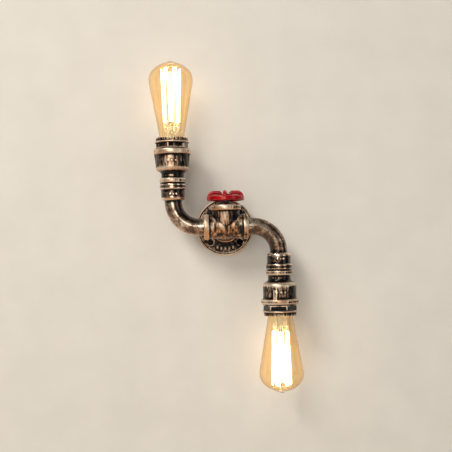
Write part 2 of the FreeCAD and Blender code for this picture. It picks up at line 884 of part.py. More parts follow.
def make_coupling(arm, rib_turn):
    """Bell reducing coupling: small beaded end, waist, bell with ribs, and a wide band at its mouth."""
    body = new_body(f"{arm}_coupling")
    sketch = new_sketch(body, "XZ_Plane", "BellOutline")
    half_flare = (dim.bell_radius - dim.neck_radius) / 2
    flare_middle = neck_end + dim.flare_length / 2
    # Two equal arcs make the flare: each is upright at its outer end and they meet half way
    flare_arc = (half_flare * half_flare + dim.flare_length * dim.flare_length / 4) / (half_flare * 2)
    trace(
        sketch,
        [
            (dim.pipe_thread_radius, coupling_start),
            (dim.small_bead_radius - dim.edge_break, coupling_start),
            (dim.small_bead_radius, coupling_start + dim.edge_break),
            (dim.small_bead_radius, small_bead_end - dim.edge_break),
            (dim.small_bead_radius - dim.edge_break, small_bead_end),
            (dim.neck_radius, small_bead_end),
            (dim.neck_radius, neck_end),
            (dim.neck_radius + half_flare, flare_middle, flare_arc, "right"),
            (dim.bell_radius, bell_start, flare_arc, "left"),
            (dim.bell_radius, band_start),
            (dim.band_radius - dim.edge_break, band_start),
            (dim.band_radius, band_start + dim.edge_break),
            (dim.band_radius, coupling_end - dim.edge_break),
            (dim.band_radius - dim.edge_break, coupling_end),
            (dim.bell_bore_radius, coupling_end),
            (dim.bell_bore_radius, holder_seat),
            (dim.bell_bore_radius - dim.pipe_wall, holder_seat),
            (dim.pipe_thread_radius, coupling_end - dim.bell_bore_depth - dim.bell_throat_depth),
        ],
    )
    revolve(body, sketch, "Bell")
    rib = new_sketch(body, "XZ_Plane", "RibOutline")
    rib_root = (dim.bell_radius + dim.bell_bore_radius) / 2
    rib_top = dim.bell_radius + dim.rib_height
    trace(
        rib,
        [
            (rib_root, bell_start - dim.rib_height),
            (rib_top, bell_start + dim.rib_height),
            (rib_top, band_start),
            (rib_root, band_start),
        ],
    )
    ribbed = extrude(body, rib, "Rib", dim.rib_width, symmetric=True)
    pattern_round(body, [ribbed], "Ribs", dim.rib_count)
    place_on_arm(body, arm, rib_turn)


def make_holder_cap(arm, hex_turn):
    """Threaded ring that keeps the lampholder in: hexagon, lip, and a rim notched like a castle wall."""
    body = turned(
        f"{arm}_holder_cap",
        [
            (dim.cap_bore_radius, coupling_end - dim.cap_thread_length),
            (dim.bell_bore_radius - dim.thread_play, coupling_end - dim.cap_thread_length),
            (dim.bell_bore_radius - dim.thread_play, lip_start),
            (dim.lip_radius - dim.edge_break, lip_start),
            (dim.lip_radius, lip_start + dim.edge_break),
            (dim.lip_radius, crown_start),
            (dim.crown_foot_radius, crown_start),
            (dim.crown_rim_radius, rim_end),
            (dim.crown_rim_radius - dim.crown_wall, rim_end),
            (dim.crown_rim_radius - dim.crown_wall, lip_start + dim.retainer_width),
            (dim.retainer_radius, lip_start + dim.retainer_width),
            (dim.retainer_radius, lip_start),
            (dim.cap_bore_radius, lip_start),
        ],
    )
    hexagon = new_sketch(body, "XY_Plane", "HexagonOutline", offset=hex_start)
    regular_polygon(hexagon, 6, dim.hex_corner_radius)
    circle_at(hexagon, 0, 0, dim.cap_bore_radius)
    extrude(body, hexagon, "Hexagon", lip_start - hex_start)
    notch = new_sketch(body, "XZ_Plane", "NotchOutline")
    notch_inner = dim.crown_rim_radius - dim.crown_wall / 2
    trace(
        notch,
        [
            (notch_inner, rim_end - dim.crown_notch_depth),
            (dim.lip_radius, rim_end - dim.crown_notch_depth),
            (dim.lip_radius, rim_end + dim.edge_break),
            (notch_inner, rim_end + dim.edge_break),
        ],
    )
    cut = extrude(body, notch, "Notch", dim.crown_notch_width, symmetric=True, cut=True)
    pattern_round(body, [cut], "Notches", dim.crown_notch_count)
    place_on_arm(body, arm, hex_turn)


def make_holder(arm):
    """Ceramic lampholder body: a cup with a thick floor that seats on the step in the bell."""
    body = turned(
        f"{arm}_holder",
        [
            (0, holder_seat),
            (holder_radius - dim.edge_break, holder_seat),
            (holder_radius, holder_seat + dim.edge_break),
            (holder_radius, lip_start),
            (shell_pocket, lip_start),
            (shell_pocket, holder_floor_top),
            (0, holder_floor_top),
        ],
    )
    holes = new_sketch(body, "XY_Plane", "TerminalHoles", offset=holder_seat)
    for side in (-1, 1):
        circle_at(holes, side * dim.terminal_offset, 0, dim.terminal_screw_radius + dim.thread_play)
    extrude(body, holes, "TerminalBores", dim.holder_floor, cut=True, reverse=True)
    place_on_arm(body, arm)


def make_screw_shell(arm):
    body = turned(
        f"{arm}_screw_shell",
        [
            (dim.shell_radius - dim.shell_wall, holder_floor_top),
            (dim.shell_radius, holder_floor_top),
            (dim.shell_radius, lip_start - dim.shell_setback),
            (dim.shell_radius - dim.shell_wall, lip_start - dim.shell_setback),
        ],
    )
    place_on_arm(body, arm)


def make_contact(arm):
    """Centre contact: a brass strip with a raised middle, screwed to the holder's floor at one end."""
    body = new_body(f"{arm}_contact")
    sketch = new_sketch(body, "XZ_Plane", "StripOutline")
    top = holder_floor_top + dim.contact_thickness
    raised = holder_floor_top + dim.contact_rise
    half = dim.contact_length / 2
    crest = dim.tip_radius / 2
    slope = dim.tip_radius
    trace(
        sketch,
        [
            (half, holder_floor_top),
            (half, top),
            (slope, top),
            (crest, raised),
            (-crest, raised),
            (-slope, top),
            (-slope, holder_floor_top),
            (-crest, raised - dim.contact_thickness),
            (crest, raised - dim.contact_thickness),
            (slope, holder_floor_top),
        ],
    )
    extrude(body, sketch, "Strip", dim.contact_width, symmetric=True)
    hole = new_sketch(body, "XY_Plane", "ScrewHole", offset=holder_floor_top)
    circle_at(hole, dim.terminal_offset, 0, dim.terminal_screw_radius + dim.thread_play)
    extrude(body, hole, "ScrewBore", dim.contact_thickness, cut=True, reverse=True)
    place_on_arm(body, arm)


def cylinder(name, radius, height, x, z):
    """An upright cylinder on the arms' plane, with its sizes and place tied to the sheet."""
    rod = doc.addObject("Part::Cylinder", name)
    rod.setExpression("Radius", as_size(radius).text)
    rod.setExpression("Height", as_size(height).text)
    rod.setExpression("Placement.Base.x", as_size(x).text)
    rod.setExpression("Placement.Base.y", (-stand_off).text)
    rod.setExpression("Placement.Base.z", as_size(z).text)
    return rod


def make_terminal_screws():
    """Two screws in each lampholder: one on the contact strip and one on the floor."""
    rods = []
    for arm, up in (("upper", 1), ("lower", -1)):
        for side, seat in ((1, dim.contact_thickness), (-1, as_size(0))):
            x = up * (side * dim.terminal_offset - dim.half_span)
            under_head = holder_floor_top + seat
            shank_length = under_head - holder_seat
            head_top = under_head + dim.terminal_head_height
            shank_foot = holder_seat if up > 0 else -under_head
            head_foot = under_head if up > 0 else -head_top
            rods.append(cylinder("ScrewShank", dim.terminal_screw_radius, shank_length, x, shank_foot))
            rods.append(
                cylinder("ScrewHead", dim.terminal_head_radius, dim.terminal_head_height, x, head_foot)
            )
    screws = doc.addObject("Part::MultiFuse", "terminal_screws")
    screws.Label = "terminal_screws"
    screws.Shapes = rods
    sub_parts.append(screws)


# Bulbs: local heights run from the tip back to the cap

def make_bulb_glass(arm):
    """Teardrop envelope: flattened dome, round shoulder, long taper and a neck drawn in to the cap."""
    body = new_body(f"{arm}_bulb_glass")
    sketch = new_sketch(body, "XZ_Plane", "GlassOutline")
    dome = dim.bulb_radius + dim.dome_extra
    pip = dim.bulb_pip_height
    throat = dim.bulb_cap_radius - dim.bulb_cap_wall
    rounding = dim.bulb_neck_radius - throat
    neck_height = cap_top - rounding - dim.thread_play
    glass_end = cap_top + dim.glass_in_cap
    outer = wall_curve(sketch, dome, dim.shoulder_arc, dim.bulb_neck_radius, neck_height, pip, 0)
    inner = wall_curve(
        sketch,
        dome - dim.bulb_wall,
        dim.shoulder_arc - dim.bulb_wall,
        dim.bulb_neck_radius - dim.bulb_wall,
        neck_height,
        pip,
        dim.bulb_wall,
    )
    neck_in = throat - dim.bulb_wall
    outer_throat = [(throat, neck_height + rounding, rounding, "left"), (throat, glass_end)]
    inner_throat = [(neck_in, neck_height + rounding, rounding, "left"), (neck_in, glass_end)]
    ends = []
    for last, start_x, tail in (
        (outer, dim.bulb_neck_radius, outer_throat),
        (inner, dim.bulb_neck_radius - dim.bulb_wall, inner_throat),
    ):
        first_new = sketch.GeometryCount
        trace(sketch, [(start_x, neck_height)] + tail, closed=False)
        ends.append((last, first_new, sketch.GeometryCount - 1))
    closing = sketch.addGeometry(
        Part.LineSegment(
            Vector(throat.value, glass_end.value, 0), Vector(neck_in.value, glass_end.value, 0)
        ),
        False,
    )
    sketch.addConstraint(Sketcher.Constraint("Coincident", ends[0][2], 2, closing, 1))
    sketch.addConstraint(Sketcher.Constraint("Coincident", closing, 2, ends[1][2], 2))
    axis_line = sketch.addGeometry(
        Part.LineSegment(Vector(0, pip.value, 0), Vector(0, (pip + dim.bulb_wall).value, 0)), False
    )
    sketch.addConstraint(Sketcher.Constraint("Coincident", outer - 2, 1, axis_line, 1))
    sketch.addConstraint(Sketcher.Constraint("Coincident", inner - 2, 1, axis_line, 2))
    revolve(body, sketch, "Envelope")
    tip = new_sketch(body, "XZ_Plane", "PipOutline")
    trace(
        tip,
        [
            (0, 0),
            (dim.bulb_pip_radius / 2, 0),
            (dim.bulb_pip_radius, pip + dim.bulb_wall * 0.7),
            (0, pip + dim.bulb_wall * 0.7),
        ],
    )
    revolve(body, tip, "Pip")
    place_in_bulb(body, arm)


def wall_curve(sketch, dome, shoulder, neck_radius, neck_height, pip, depth):
    """One face of the glass: dome arc, shoulder arc and taper, each tangent to the next.

    Returns the number of the taper line, which comes after the two arcs."""
    centre_x = dim.bulb_radius - dim.shoulder_arc
    dome_height = pip + dim.bulb_radius + dim.dome_extra
    drop = math.sqrt((dome - shoulder).value ** 2 - centre_x.value**2)
    dome_centre = Vector(0, dome_height.value, 0)
    shoulder_centre = Vector(centre_x.value, dome_height.value - drop, 0)
    meeting = math.atan2(-drop, centre_x.value)
    neck = Vector(neck_radius.value, neck_height.value, 0)
    reach = neck - shoulder_centre
    leaving = math.atan2(reach.y, reach.x) - math.acos(shoulder.value / reach.Length)
    touch = shoulder_centre + Vector(math.cos(leaving), math.sin(leaving), 0) * shoulder.value

    up = Vector(0, 0, 1)
    first = sketch.addGeometry(
        Part.ArcOfCircle(Part.Circle(dome_centre, up, dome.value), -math.pi / 2, meeting), False
    )
    sketch.addGeometry(
        Part.ArcOfCircle(Part.Circle(shoulder_centre, up, shoulder.value), meeting, leaving), False
    )
    sketch.addGeometry(Part.LineSegment(touch, neck), False)
    # The dome's centre stands on the axis, and its first end on the axis at the tip
    sketch.addConstraint(Sketcher.Constraint("PointOnObject", first, 3, -2))
    sketch.addConstraint(Sketcher.Constraint("PointOnObject", first, 1, -2))
    bind(sketch, Sketcher.Constraint("DistanceY", -1, 1, first, 3, dome_height.value), dome_height)
    bind(sketch, Sketcher.Constraint("DistanceX", -1, 1, first + 1, 3, centre_x.value), centre_x)
    bind(sketch, Sketcher.Constraint("Radius", first, dome.value), dome)
    bind(sketch, Sketcher.Constraint("Radius", first + 1, shoulder.value), shoulder)
    sketch.addConstraint(Sketcher.Constraint("Tangent", first, 2, first + 1, 1))
    sketch.addConstraint(Sketcher.Constraint("Tangent", first + 1, 2, first + 2, 1))
    pin(sketch, first + 2, 2, neck_radius, neck_height)
    return first + 2


def make_bulb_cap(arm):
    """Brass screw cap as a plain tube, with the black glass ring and the solder tip below it."""
    shell_end = dim.bulb_length - dim.insulator_height
    cap = turned(
        f"{arm}_bulb_cap",
        [
            (dim.bulb_cap_radius - dim.bulb_cap_wall, cap_top),
            (dim.bulb_cap_radius, cap_top),
            (dim.bulb_cap_radius, shell_end),
            (dim.bulb_cap_radius - dim.bulb_cap_wall, shell_end),
        ],
    )
    place_in_bulb(cap, arm)
    tip_start = dim.bulb_length - dim.tip_height
    ring = turned(
        f"{arm}_cap_insulator",
        [
            (0, shell_end),
            (dim.bulb_cap_radius, shell_end),
            (dim.bulb_cap_radius - dim.edge_break, shell_end + dim.edge_break),
            (dim.tip_radius + dim.edge_break, tip_start),
            (0, tip_start),
        ],
    )
    place_in_bulb(ring, arm)
    tip = turned(
        f"{arm}_cap_tip",
        [
            (0, tip_start),
            (dim.tip_radius, tip_start),
            (dim.tip_radius - dim.tip_height / 2, dim.bulb_length),
            (0, dim.bulb_length),
        ],
    )
    place_in_bulb(tip, arm)


def make_bulb_stem(arm):
    """Glass flare and stem rising from the neck, with a rod that ends in a button near the tip."""
    throat_inside = dim.bulb_cap_radius - dim.bulb_cap_wall - dim.bulb_wall
    foot = cap_top + dim.glass_in_cap
    body = turned(
        f"{arm}_bulb_stem",
        [
            (0, button_front),
            (dim.button_radius - dim.edge_break, button_front),
            (dim.button_radius, button_front + dim.button_height / 2),
            (dim.button_radius - dim.edge_break, button_front + dim.button_height),
            (dim.rod_radius, button_front + dim.button_height),
            (dim.rod_radius, stem_shoulder - dim.stem_radius),
            (dim.stem_radius, stem_shoulder),
            (dim.stem_radius, foot - dim.stem_radius),
            (throat_inside, foot - dim.edge_break),
            (throat_inside, foot),
            (0, foot),
        ],
    )
    place_in_bulb(body, arm)


def spot_round(angle, radius, height):
    return Vector(math.cos(angle), math.sin(angle), 0) * radius.value + Vector(0, 0, height.value)


def cage_turns():
    """Where the filament turns: at the hooks near the tip, and at those round the stem, whose first
    and last hold the two ends of the wire a little apart."""
    count = int(dim.hook_count.value)
    pitch = 2 * math.pi / count
    tops = [spot_round(pitch * i, dim.cage_top_radius, cage_top) for i in range(count)]
    foot_angles = [pitch * (i - 0.5) for i in range(count + 1)]
    foot_angles[0] += pitch * dim.end_share.value
    foot_angles[-1] -= pitch * dim.end_share.value
    feet = [spot_round(angle, dim.cage_foot_radius, cage_foot) for angle in foot_angles]
    return tops, feet


def make_filament(arm):
    """Squirrel cage: one wire that zigzags from foot to top, wound once round each hook."""
    tops, feet = cage_turns()
    radius = dim.wire_radius.value
    pieces = []
    for i, top in enumerate(tops):
        for foot in (feet[i], feet[i + 1]):
            pieces.append(Part.makeCylinder(radius, (foot - top).Length, top, foot - top))
    up = Vector(0, 0, 1)
    half = dim.winding_height.value / 2
    for spot in tops + feet:
        pieces.append(Part.makeCylinder(dim.winding_radius.value, half * 2, spot - up * half, up))
    wire = pieces[0].multiFuse(pieces[1:])
    place_in_bulb(wire_part(f"{arm}_filament", wire), arm)


def make_filament_hooks(arm):
    """Wires that stand out from the button and the stem and turn along the bulb to each winding."""
    tops, feet = cage_turns()
    half = dim.winding_height.value / 2
    hooks = []
    for spots, hub_radius, hub_height, side in (
        (tops, dim.button_radius, button_middle, -1),
        (feet, dim.stem_radius, foot_hook_level, 1),
    ):
        for spot in spots:
            outward = Vector(spot.x, spot.y, 0).normalize()
            level = Vector(0, 0, hub_height.value)
            points = [
                outward * hub_radius.value + level,
                Vector(spot.x, spot.y, 0) + level,
                spot + Vector(0, 0, side * half),
            ]
            hooks.append(round_wire(points, [dim.hook_bend.value], dim.wire_radius.value))
    place_in_bulb(wire_part(f"{arm}_filament_hooks", Part.makeCompound(hooks)), arm)


# Wiring

def make_leads():
    """Flexible leads from the lampholders to the terminal block, and one from there to the switch."""
    axis_y = -stand_off.value
    block_face = -(dim.block_setback + dim.block_length).value
    for arm in ARMS:
        up = 1 if arm == "upper" else -1
        points = [
            Vector(-up * dim.half_span.value, axis_y, up * holder_seat.value),
            Vector(-up * dim.half_span.value, axis_y, 0),
            Vector(-up * dim.lead_offset.value, axis_y, 0),
            Vector(-up * dim.lead_offset.value, block_face, 0),
        ]
        bends = [dim.bend_radius.value, dim.lead_turn.value]
        lead = round_wire(points, bends, dim.lead_radius.value)
        place(wire_part(f"{arm}_lead", lead))
    rise = dim.switch_lead_rise.value
    turn = switch_bottom.value - rise - dim.switch_lead_tail.value
    points = [
        Vector(0, block_face, rise),
        Vector(0, axis_y, rise),
        Vector(0, axis_y, switch_bottom.value),
    ]
    lead = round_wire(points, [turn], dim.switch_lead_radius.value)
    place(wire_part("switch_lead", lead))


def make_terminal_block():
    """Moulded block with three screw wells, held by its wires inside the wall nipple."""
    body = new_body("terminal_block")
    sketch = new_sketch(body, "XY_Plane", "BlockOutline")
    half_width = dim.block_width / 2
    trace(
        sketch,
        [
            (-half_width, -dim.block_setback),
            (-half_width, -block_front),
            (half_width, -block_front),
            (half_width, -dim.block_setback),
        ],
    )
    extrude(body, sketch, "Block", dim.block_height, symmetric=True)
    wells = new_sketch(body, "XY_Plane", "ScrewWells", offset=dim.block_height / 2)
    for place_in_row in (-1, 0, 1):
        circle_at(
            wells,
            place_in_row * dim.block_screw_pitch,
            -(dim.block_setback + dim.block_length / 2),
            dim.block_screw_radius,
        )
    extrude(body, wells, "Wells", dim.block_screw_depth, cut=True)
    place(body)


doc = FreeCAD.newDocument("wall_sconce")
dim = Sheet(doc)
sub_parts = []

# Sizes that follow from the driving ones
branch_male_radius = dim.branch_thread_radius - dim.thread_play
pipe_male_radius = dim.pipe_thread_radius - dim.thread_play
pipe_bore = dim.pipe_radius - dim.pipe_wall
flange_rim_top = dim.flange_thickness + dim.flange_rim_height
tee_back = dim.flange_hub_height + dim.nipple_gap
stand_off = tee_back + dim.branch_reach
nipple_end = tee_back + dim.branch_thread_depth

bonnet_shoulder = dim.branch_reach - dim.bonnet_sunk
bonnet_top = dim.branch_reach + dim.bonnet_height
switch_pocket_radius = branch_male_radius - dim.bonnet_skirt_wall
switch_seat = bonnet_top - dim.bonnet_panel
switch_bottom = switch_seat - dim.switch_length
bush_hole_radius = dim.bush_radius + dim.bush_play
bush_top = bonnet_top + dim.ring_nut_height + dim.bush_stand
spindle_foot = switch_seat - dim.spindle_depth
wheel_bottom = dim.branch_reach + dim.wheel_lift
spindle_top = wheel_bottom + dim.wheel_hub_height - dim.washer_thickness
screw_hole = dim.wheel_screw_radius + dim.thread_play

bend_start = dim.half_span - dim.run_reach + dim.run_thread_depth
collar_start = dim.bend_radius + dim.collar_offset
bend_bead_start = collar_start + dim.collar_length
bend_end = bend_bead_start + dim.bend_bead_width
coupling_start = bend_end + dim.joint_gap
small_bead_end = coupling_start + dim.small_bead_width
neck_end = small_bead_end + dim.neck_length
bell_start = neck_end + dim.flare_length
band_start = bell_start + dim.bell_length
coupling_end = band_start + dim.band_width
holder_seat = coupling_end - dim.bell_bore_depth
hex_start = coupling_end + dim.seam_gap
lip_start = hex_start + dim.hex_height
crown_start = lip_start + dim.lip_width
rim_end = crown_start + dim.crown_height
holder_radius = dim.cap_bore_radius - dim.holder_play
holder_floor_top = holder_seat + dim.holder_floor
shell_pocket = dim.shell_radius + dim.thread_play
tip_reach = holder_floor_top + dim.contact_rise + dim.bulb_play + dim.bulb_length
cap_top = dim.bulb_length - dim.bulb_cap_length
button_front = dim.bulb_pip_height + dim.bulb_wall + dim.button_clearance
button_middle = button_front + dim.button_height / 2
cage_top = button_middle + dim.cage_top_drop
stem_shoulder = cap_top + dim.glass_in_cap - dim.stem_length + dim.stem_radius
foot_hook_level = stem_shoulder + dim.hook_bend
cage_foot = foot_hook_level - dim.cage_foot_drop
block_front = dim.block_setback + dim.block_length

# Each coupling and holder cap stopped at its own angle when it was screwed tight
RIB_TURN = {"upper": -5, "lower": -69}
HEX_TURN = {"upper": 17, "lower": 11}

make_wall_flange()
make_wall_nipple()
make_tee()
make_bonnet()
make_bonnet_nut()
make_switch_body()
make_switch_spindle()
make_handwheel()
make_wheel_fastening()
for arm_name in ARMS:
    make_bend(arm_name)
    make_arm_nipple(arm_name)
    make_coupling(arm_name, RIB_TURN[arm_name])
    make_holder_cap(arm_name, HEX_TURN[arm_name])
    make_holder(arm_name)
    make_screw_shell(arm_name)
    make_contact(arm_name)
    make_bulb_glass(arm_name)
    make_bulb_cap(arm_name)
    make_bulb_stem(arm_name)
    make_filament(arm_name)
    make_filament_hooks(arm_name)
make_terminal_screws()
make_leads()
make_terminal_block()

doc.recompute()
for item in doc.Objects:
    if "Invalid" in item.State or "Error" in item.State:
        raise RuntimeError(f"{item.Label} failed: {item.State}")
for sub_part in sub_parts:
    shape = sub_part.Shape
    if shape.isNull() or not shape.isValid() or not shape.Solids:
        raise RuntimeError(f"{sub_part.Label} has no valid solid")

os.makedirs("parts", exist_ok=True)
for sub_part in sub_parts:
    sub_part.Shape.exportStep(os.path.join("parts", sub_part.Label + ".step"))
print(len(sub_parts), "sub-parts written")
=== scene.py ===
import math

import bmesh
import bpy
import numpy as np
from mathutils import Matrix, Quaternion, Vector


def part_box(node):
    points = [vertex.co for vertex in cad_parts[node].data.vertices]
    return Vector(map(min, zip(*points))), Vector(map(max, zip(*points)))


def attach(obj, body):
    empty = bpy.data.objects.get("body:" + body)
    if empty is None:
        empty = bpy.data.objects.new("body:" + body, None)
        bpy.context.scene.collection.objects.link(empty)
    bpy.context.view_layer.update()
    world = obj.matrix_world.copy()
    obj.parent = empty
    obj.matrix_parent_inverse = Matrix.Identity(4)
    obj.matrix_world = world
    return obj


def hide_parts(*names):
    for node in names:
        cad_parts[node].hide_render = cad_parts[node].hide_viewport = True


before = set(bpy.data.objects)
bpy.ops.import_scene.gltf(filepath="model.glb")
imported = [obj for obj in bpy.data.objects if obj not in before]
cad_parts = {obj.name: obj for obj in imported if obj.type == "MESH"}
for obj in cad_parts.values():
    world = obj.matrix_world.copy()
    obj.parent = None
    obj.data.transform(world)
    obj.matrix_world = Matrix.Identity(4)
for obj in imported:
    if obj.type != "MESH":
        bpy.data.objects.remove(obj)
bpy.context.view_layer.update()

mm = 0.001
fullTurn = 2 * math.pi
arms = ("upper", "lower")
up = Vector((0, 0, 1))


# Where the pieces stand: an axis is a point on it, the way along it and one way across it

def nodeMiddle(node):
    low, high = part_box(node)
    return (low + high) / 2


def armAxis(arm):
    middle = nodeMiddle(f"{arm}_bulb_glass")
    side = 1 if middle.z > 0 else -1
    return Vector((middle.x, middle.y, 0)), up * side, Vector((side, 0, 0))  # across points to the tee


def bulbAxis(arm):
    start, along, across = armAxis(arm)
    low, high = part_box(f"{arm}_bulb_glass")
    tip = Vector((start.x, start.y, high.z if along.z > 0 else low.z))
    return tip, -along, across


teeMiddle = Vector((nodeMiddle("tee").x, nodeMiddle("handwheel").y, 0))
wallAxis = (Vector((0, 0, 0)), Vector((0, -1, 0)), Vector((1, 0, 0)))
standAxis = (teeMiddle, up, Vector((1, 0, 0)))
runAxis = (teeMiddle, Vector((1, 0, 0)), up)
backAxis = (teeMiddle, Vector((0, 1, 0)), Vector((1, 0, 0)))


def spotOn(axis, across, along, turn=0):
    start, way, side = axis
    third = way.cross(side)
    return start + (way * along + (side * math.cos(turn) + third * math.sin(turn)) * across) * mm


print("frame loaded:", len(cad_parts), "nodes")


# Working with Blender's own tools

mergeReach = 0.002 * mm  # points nearer to each other than this become one


def chooseOnly(*pieces):
    # the last one becomes the active piece
    bpy.ops.object.select_all(action="DESELECT")
    for piece in pieces:
        piece.select_set(True)
        bpy.context.view_layer.objects.active = piece


def startEdit(piece):
    chooseOnly(piece)
    bpy.ops.object.mode_set(mode="EDIT")
    bpy.ops.mesh.select_all(action="SELECT")


def endEdit():
    bpy.ops.object.mode_set(mode="OBJECT")


def pick(piece, kind, test):
    bpy.ops.mesh.select_mode(type=kind)
    bpy.ops.mesh.select_all(action="DESELECT")
    shape = bmesh.from_edit_mesh(piece.data)
    for part in {"VERT": shape.verts, "EDGE": shape.edges, "FACE": shape.faces}[kind]:
        if test(part):
            part.select_set(True)
    bmesh.update_edit_mesh(piece.data)


def mergePoints():
    bpy.ops.mesh.select_all(action="SELECT")
    bpy.ops.mesh.remove_doubles(threshold=mergeReach)


def tidyMesh():
    mergePoints()
    bpy.ops.mesh.dissolve_degenerate(threshold=mergeReach / 4)
    bpy.ops.mesh.select_all(action="SELECT")
    bpy.ops.mesh.normals_make_consistent(inside=False)


def joinPieces(first, others):
    chooseOnly(*others, first)
    bpy.ops.object.join()
    return first


def modify(piece, kind, **settings):
    modifier = piece.modifiers.new(kind.lower(), kind)
    for name, value in settings.items():
        setattr(modifier, name, value)
    chooseOnly(piece)
    bpy.ops.object.modifier_apply(modifier=modifier.name)


def addPiece(name, add, **settings):
    bpy.ops.object.select_all(action="DESELECT")
    add(**settings)
    piece = bpy.context.object
    piece.name = name
    bpy.ops.object.transform_apply(location=True, rotation=True, scale=True)
    return piece


def layAlong(piece, start, way):
    # a piece drawn upwards is laid along another way
    piece.rotation_mode = "QUATERNION"
    piece.rotation_quaternion = way.to_track_quat("Z", "Y")
    piece.location = start
    bpy.ops.object.transform_apply(location=True, rotation=True, scale=True)


def drawLine(name, points):
    # a small plane is merged into one point, which is pulled from corner to corner
    piece = addPiece(name, bpy.ops.mesh.primitive_plane_add, size=mm)
    startEdit(piece)
    bpy.ops.mesh.select_mode(type="VERT")
    bpy.ops.mesh.merge(type="CENTER")
    bpy.ops.transform.translate(value=points[0])
    for here, there in zip(points, points[1:]):
        bpy.ops.mesh.extrude_vertices_move(TRANSFORM_OT_translate={"value": there - here})
    return piece


def softenCorners(piece, cuts):
    # cuts are (place, how far the corner is cut back), and a larger one gets more segments
    for size in sorted({cut for place, cut in cuts}):
        places = [place for place, cut in cuts if cut == size]
        pick(piece, "VERT", lambda v: any((v.co - place).length < 0.01 * mm for place in places))
        segments = max(2, min(5, int(size * 2)))
        bpy.ops.mesh.bevel(offset=size * mm, segments=segments, affect="VERTICES", clamp_overlap=True)


def evenGrain(piece, grain):
    # edges longer than the grain are cut evenly into shorter ones
    counts = {int(e.calc_length() / (grain * mm)) for e in bmesh.from_edit_mesh(piece.data).edges}
    for count in sorted(counts - {0}, reverse=True):
        pick(piece, "EDGE", lambda e: int(e.calc_length() / (grain * mm)) == count)
        bpy.ops.mesh.subdivide(number_cuts=count)


def turnPiece(name, axis, outline, steps=96, grain=1.2, closed=True):
    # outline corners are (across, along) or (across, along, cut) in millimetres
    points = [spotOn(axis, corner[0], corner[1]) for corner in outline]
    piece = drawLine(name, points + points[:1] if closed else points)
    if closed:
        mergePoints()
    softenCorners(piece, [(spot, c[2]) for spot, c in zip(points, outline) if len(c) > 2])
    evenGrain(piece, grain)
    bpy.ops.mesh.select_all(action="SELECT")
    bpy.ops.mesh.spin(steps=steps, angle=fullTurn, center=axis[0], axis=axis[1])
    tidyMesh()
    endEdit()
    return piece


def pullTube(name, start, way, radius, moves, steps=48, wall=None):
    # moves are ("run", length) or ("turn", radius, angle, side to turn to)
    ringStep = 1.6  # from one ring of the tube to the next
    piece = addPiece(name, bpy.ops.mesh.primitive_circle_add, vertices=steps, radius=radius * mm)
    layAlong(piece, start, way)
    startEdit(piece)
    here, heading = start.copy(), way.copy()
    for move in moves:
        if move[0] == "run":
            rings = max(1, round(move[1] / ringStep))
            step = heading * (move[1] / rings) * mm
            for _ in range(rings):
                bpy.ops.mesh.extrude_region_move(TRANSFORM_OT_translate={"value": step})
            here += heading * move[1] * mm
        else:
            _, bend, angle, towards = move
            centre = here + towards * bend * mm
            hinge = towards.cross(heading)  # spin turns left-handed about its axis
            rings = max(8, round(bend * angle / ringStep))
            bpy.ops.mesh.spin(steps=rings, angle=angle, center=centre, axis=hinge)
            here = centre + (heading * math.sin(angle) - towards * math.cos(angle)) * bend * mm
            heading = heading * math.cos(angle) + towards * math.sin(angle)
    if wall is None:
        pick(piece, "EDGE", lambda e: e.is_boundary)
        bpy.ops.mesh.edge_face_add()
    tidyMesh()
    endEdit()
    if wall is not None:
        modify(piece, "SOLIDIFY", thickness=wall * mm, offset=-1, use_even_offset=True)
    return piece


def turnSelected(axis, angle):
    # without a window the operator turns the other way round, hence the minus
    start, way, _ = axis
    main = max(range(3), key=lambda i: abs(way[i]))
    turn = -angle * math.copysign(1, way[main])
    bpy.ops.transform.rotate(value=turn, orient_axis="XYZ"[main], center_override=start)


def turnWhole(piece, axis, angle):
    startEdit(piece)
    turnSelected(axis, angle)
    endEdit()


def copyRound(piece, axis, angles):
    # each copy has a mesh of its own, and the piece that they are taken from goes
    copies = []
    for angle in angles:
        chooseOnly(piece)
        bpy.ops.object.duplicate(linked=False)
        copies.append(bpy.context.object)
        turnWhole(copies[-1], axis, angle)
    bpy.data.objects.remove(piece)
    return copies


def addBlock(name, middle, sizes, rounding):
    # a small block with rounded edges, sizes along X, Y and Z
    scale = Vector(sizes) * mm
    piece = addPiece(name, bpy.ops.mesh.primitive_cube_add, size=1, location=middle, scale=scale)
    startEdit(piece)
    bpy.ops.mesh.bevel(offset=rounding * mm, segments=3, affect="EDGES")
    tidyMesh()
    endEdit()
    return piece


def addPip(piece, middle, sizes):
    joinPieces(piece, [addBlock("pip", middle, sizes, rounding=0.6)])


def cutAway(piece, cutters):
    cutter = joinPieces(cutters[0], cutters[1:])
    several = len(cutters) > 1
    modify(piece, "BOOLEAN", operation="DIFFERENCE", solver="EXACT", use_self=several, object=cutter)
    bpy.data.objects.remove(cutter)


def castSkin(piece, grain, passes):
    # one even skin over joined shapes, with the soft corners that sand casting leaves
    modify(piece, "REMESH", mode="VOXEL", voxel_size=grain * mm)
    modify(piece, "SMOOTH", factor=0.5, iterations=passes)


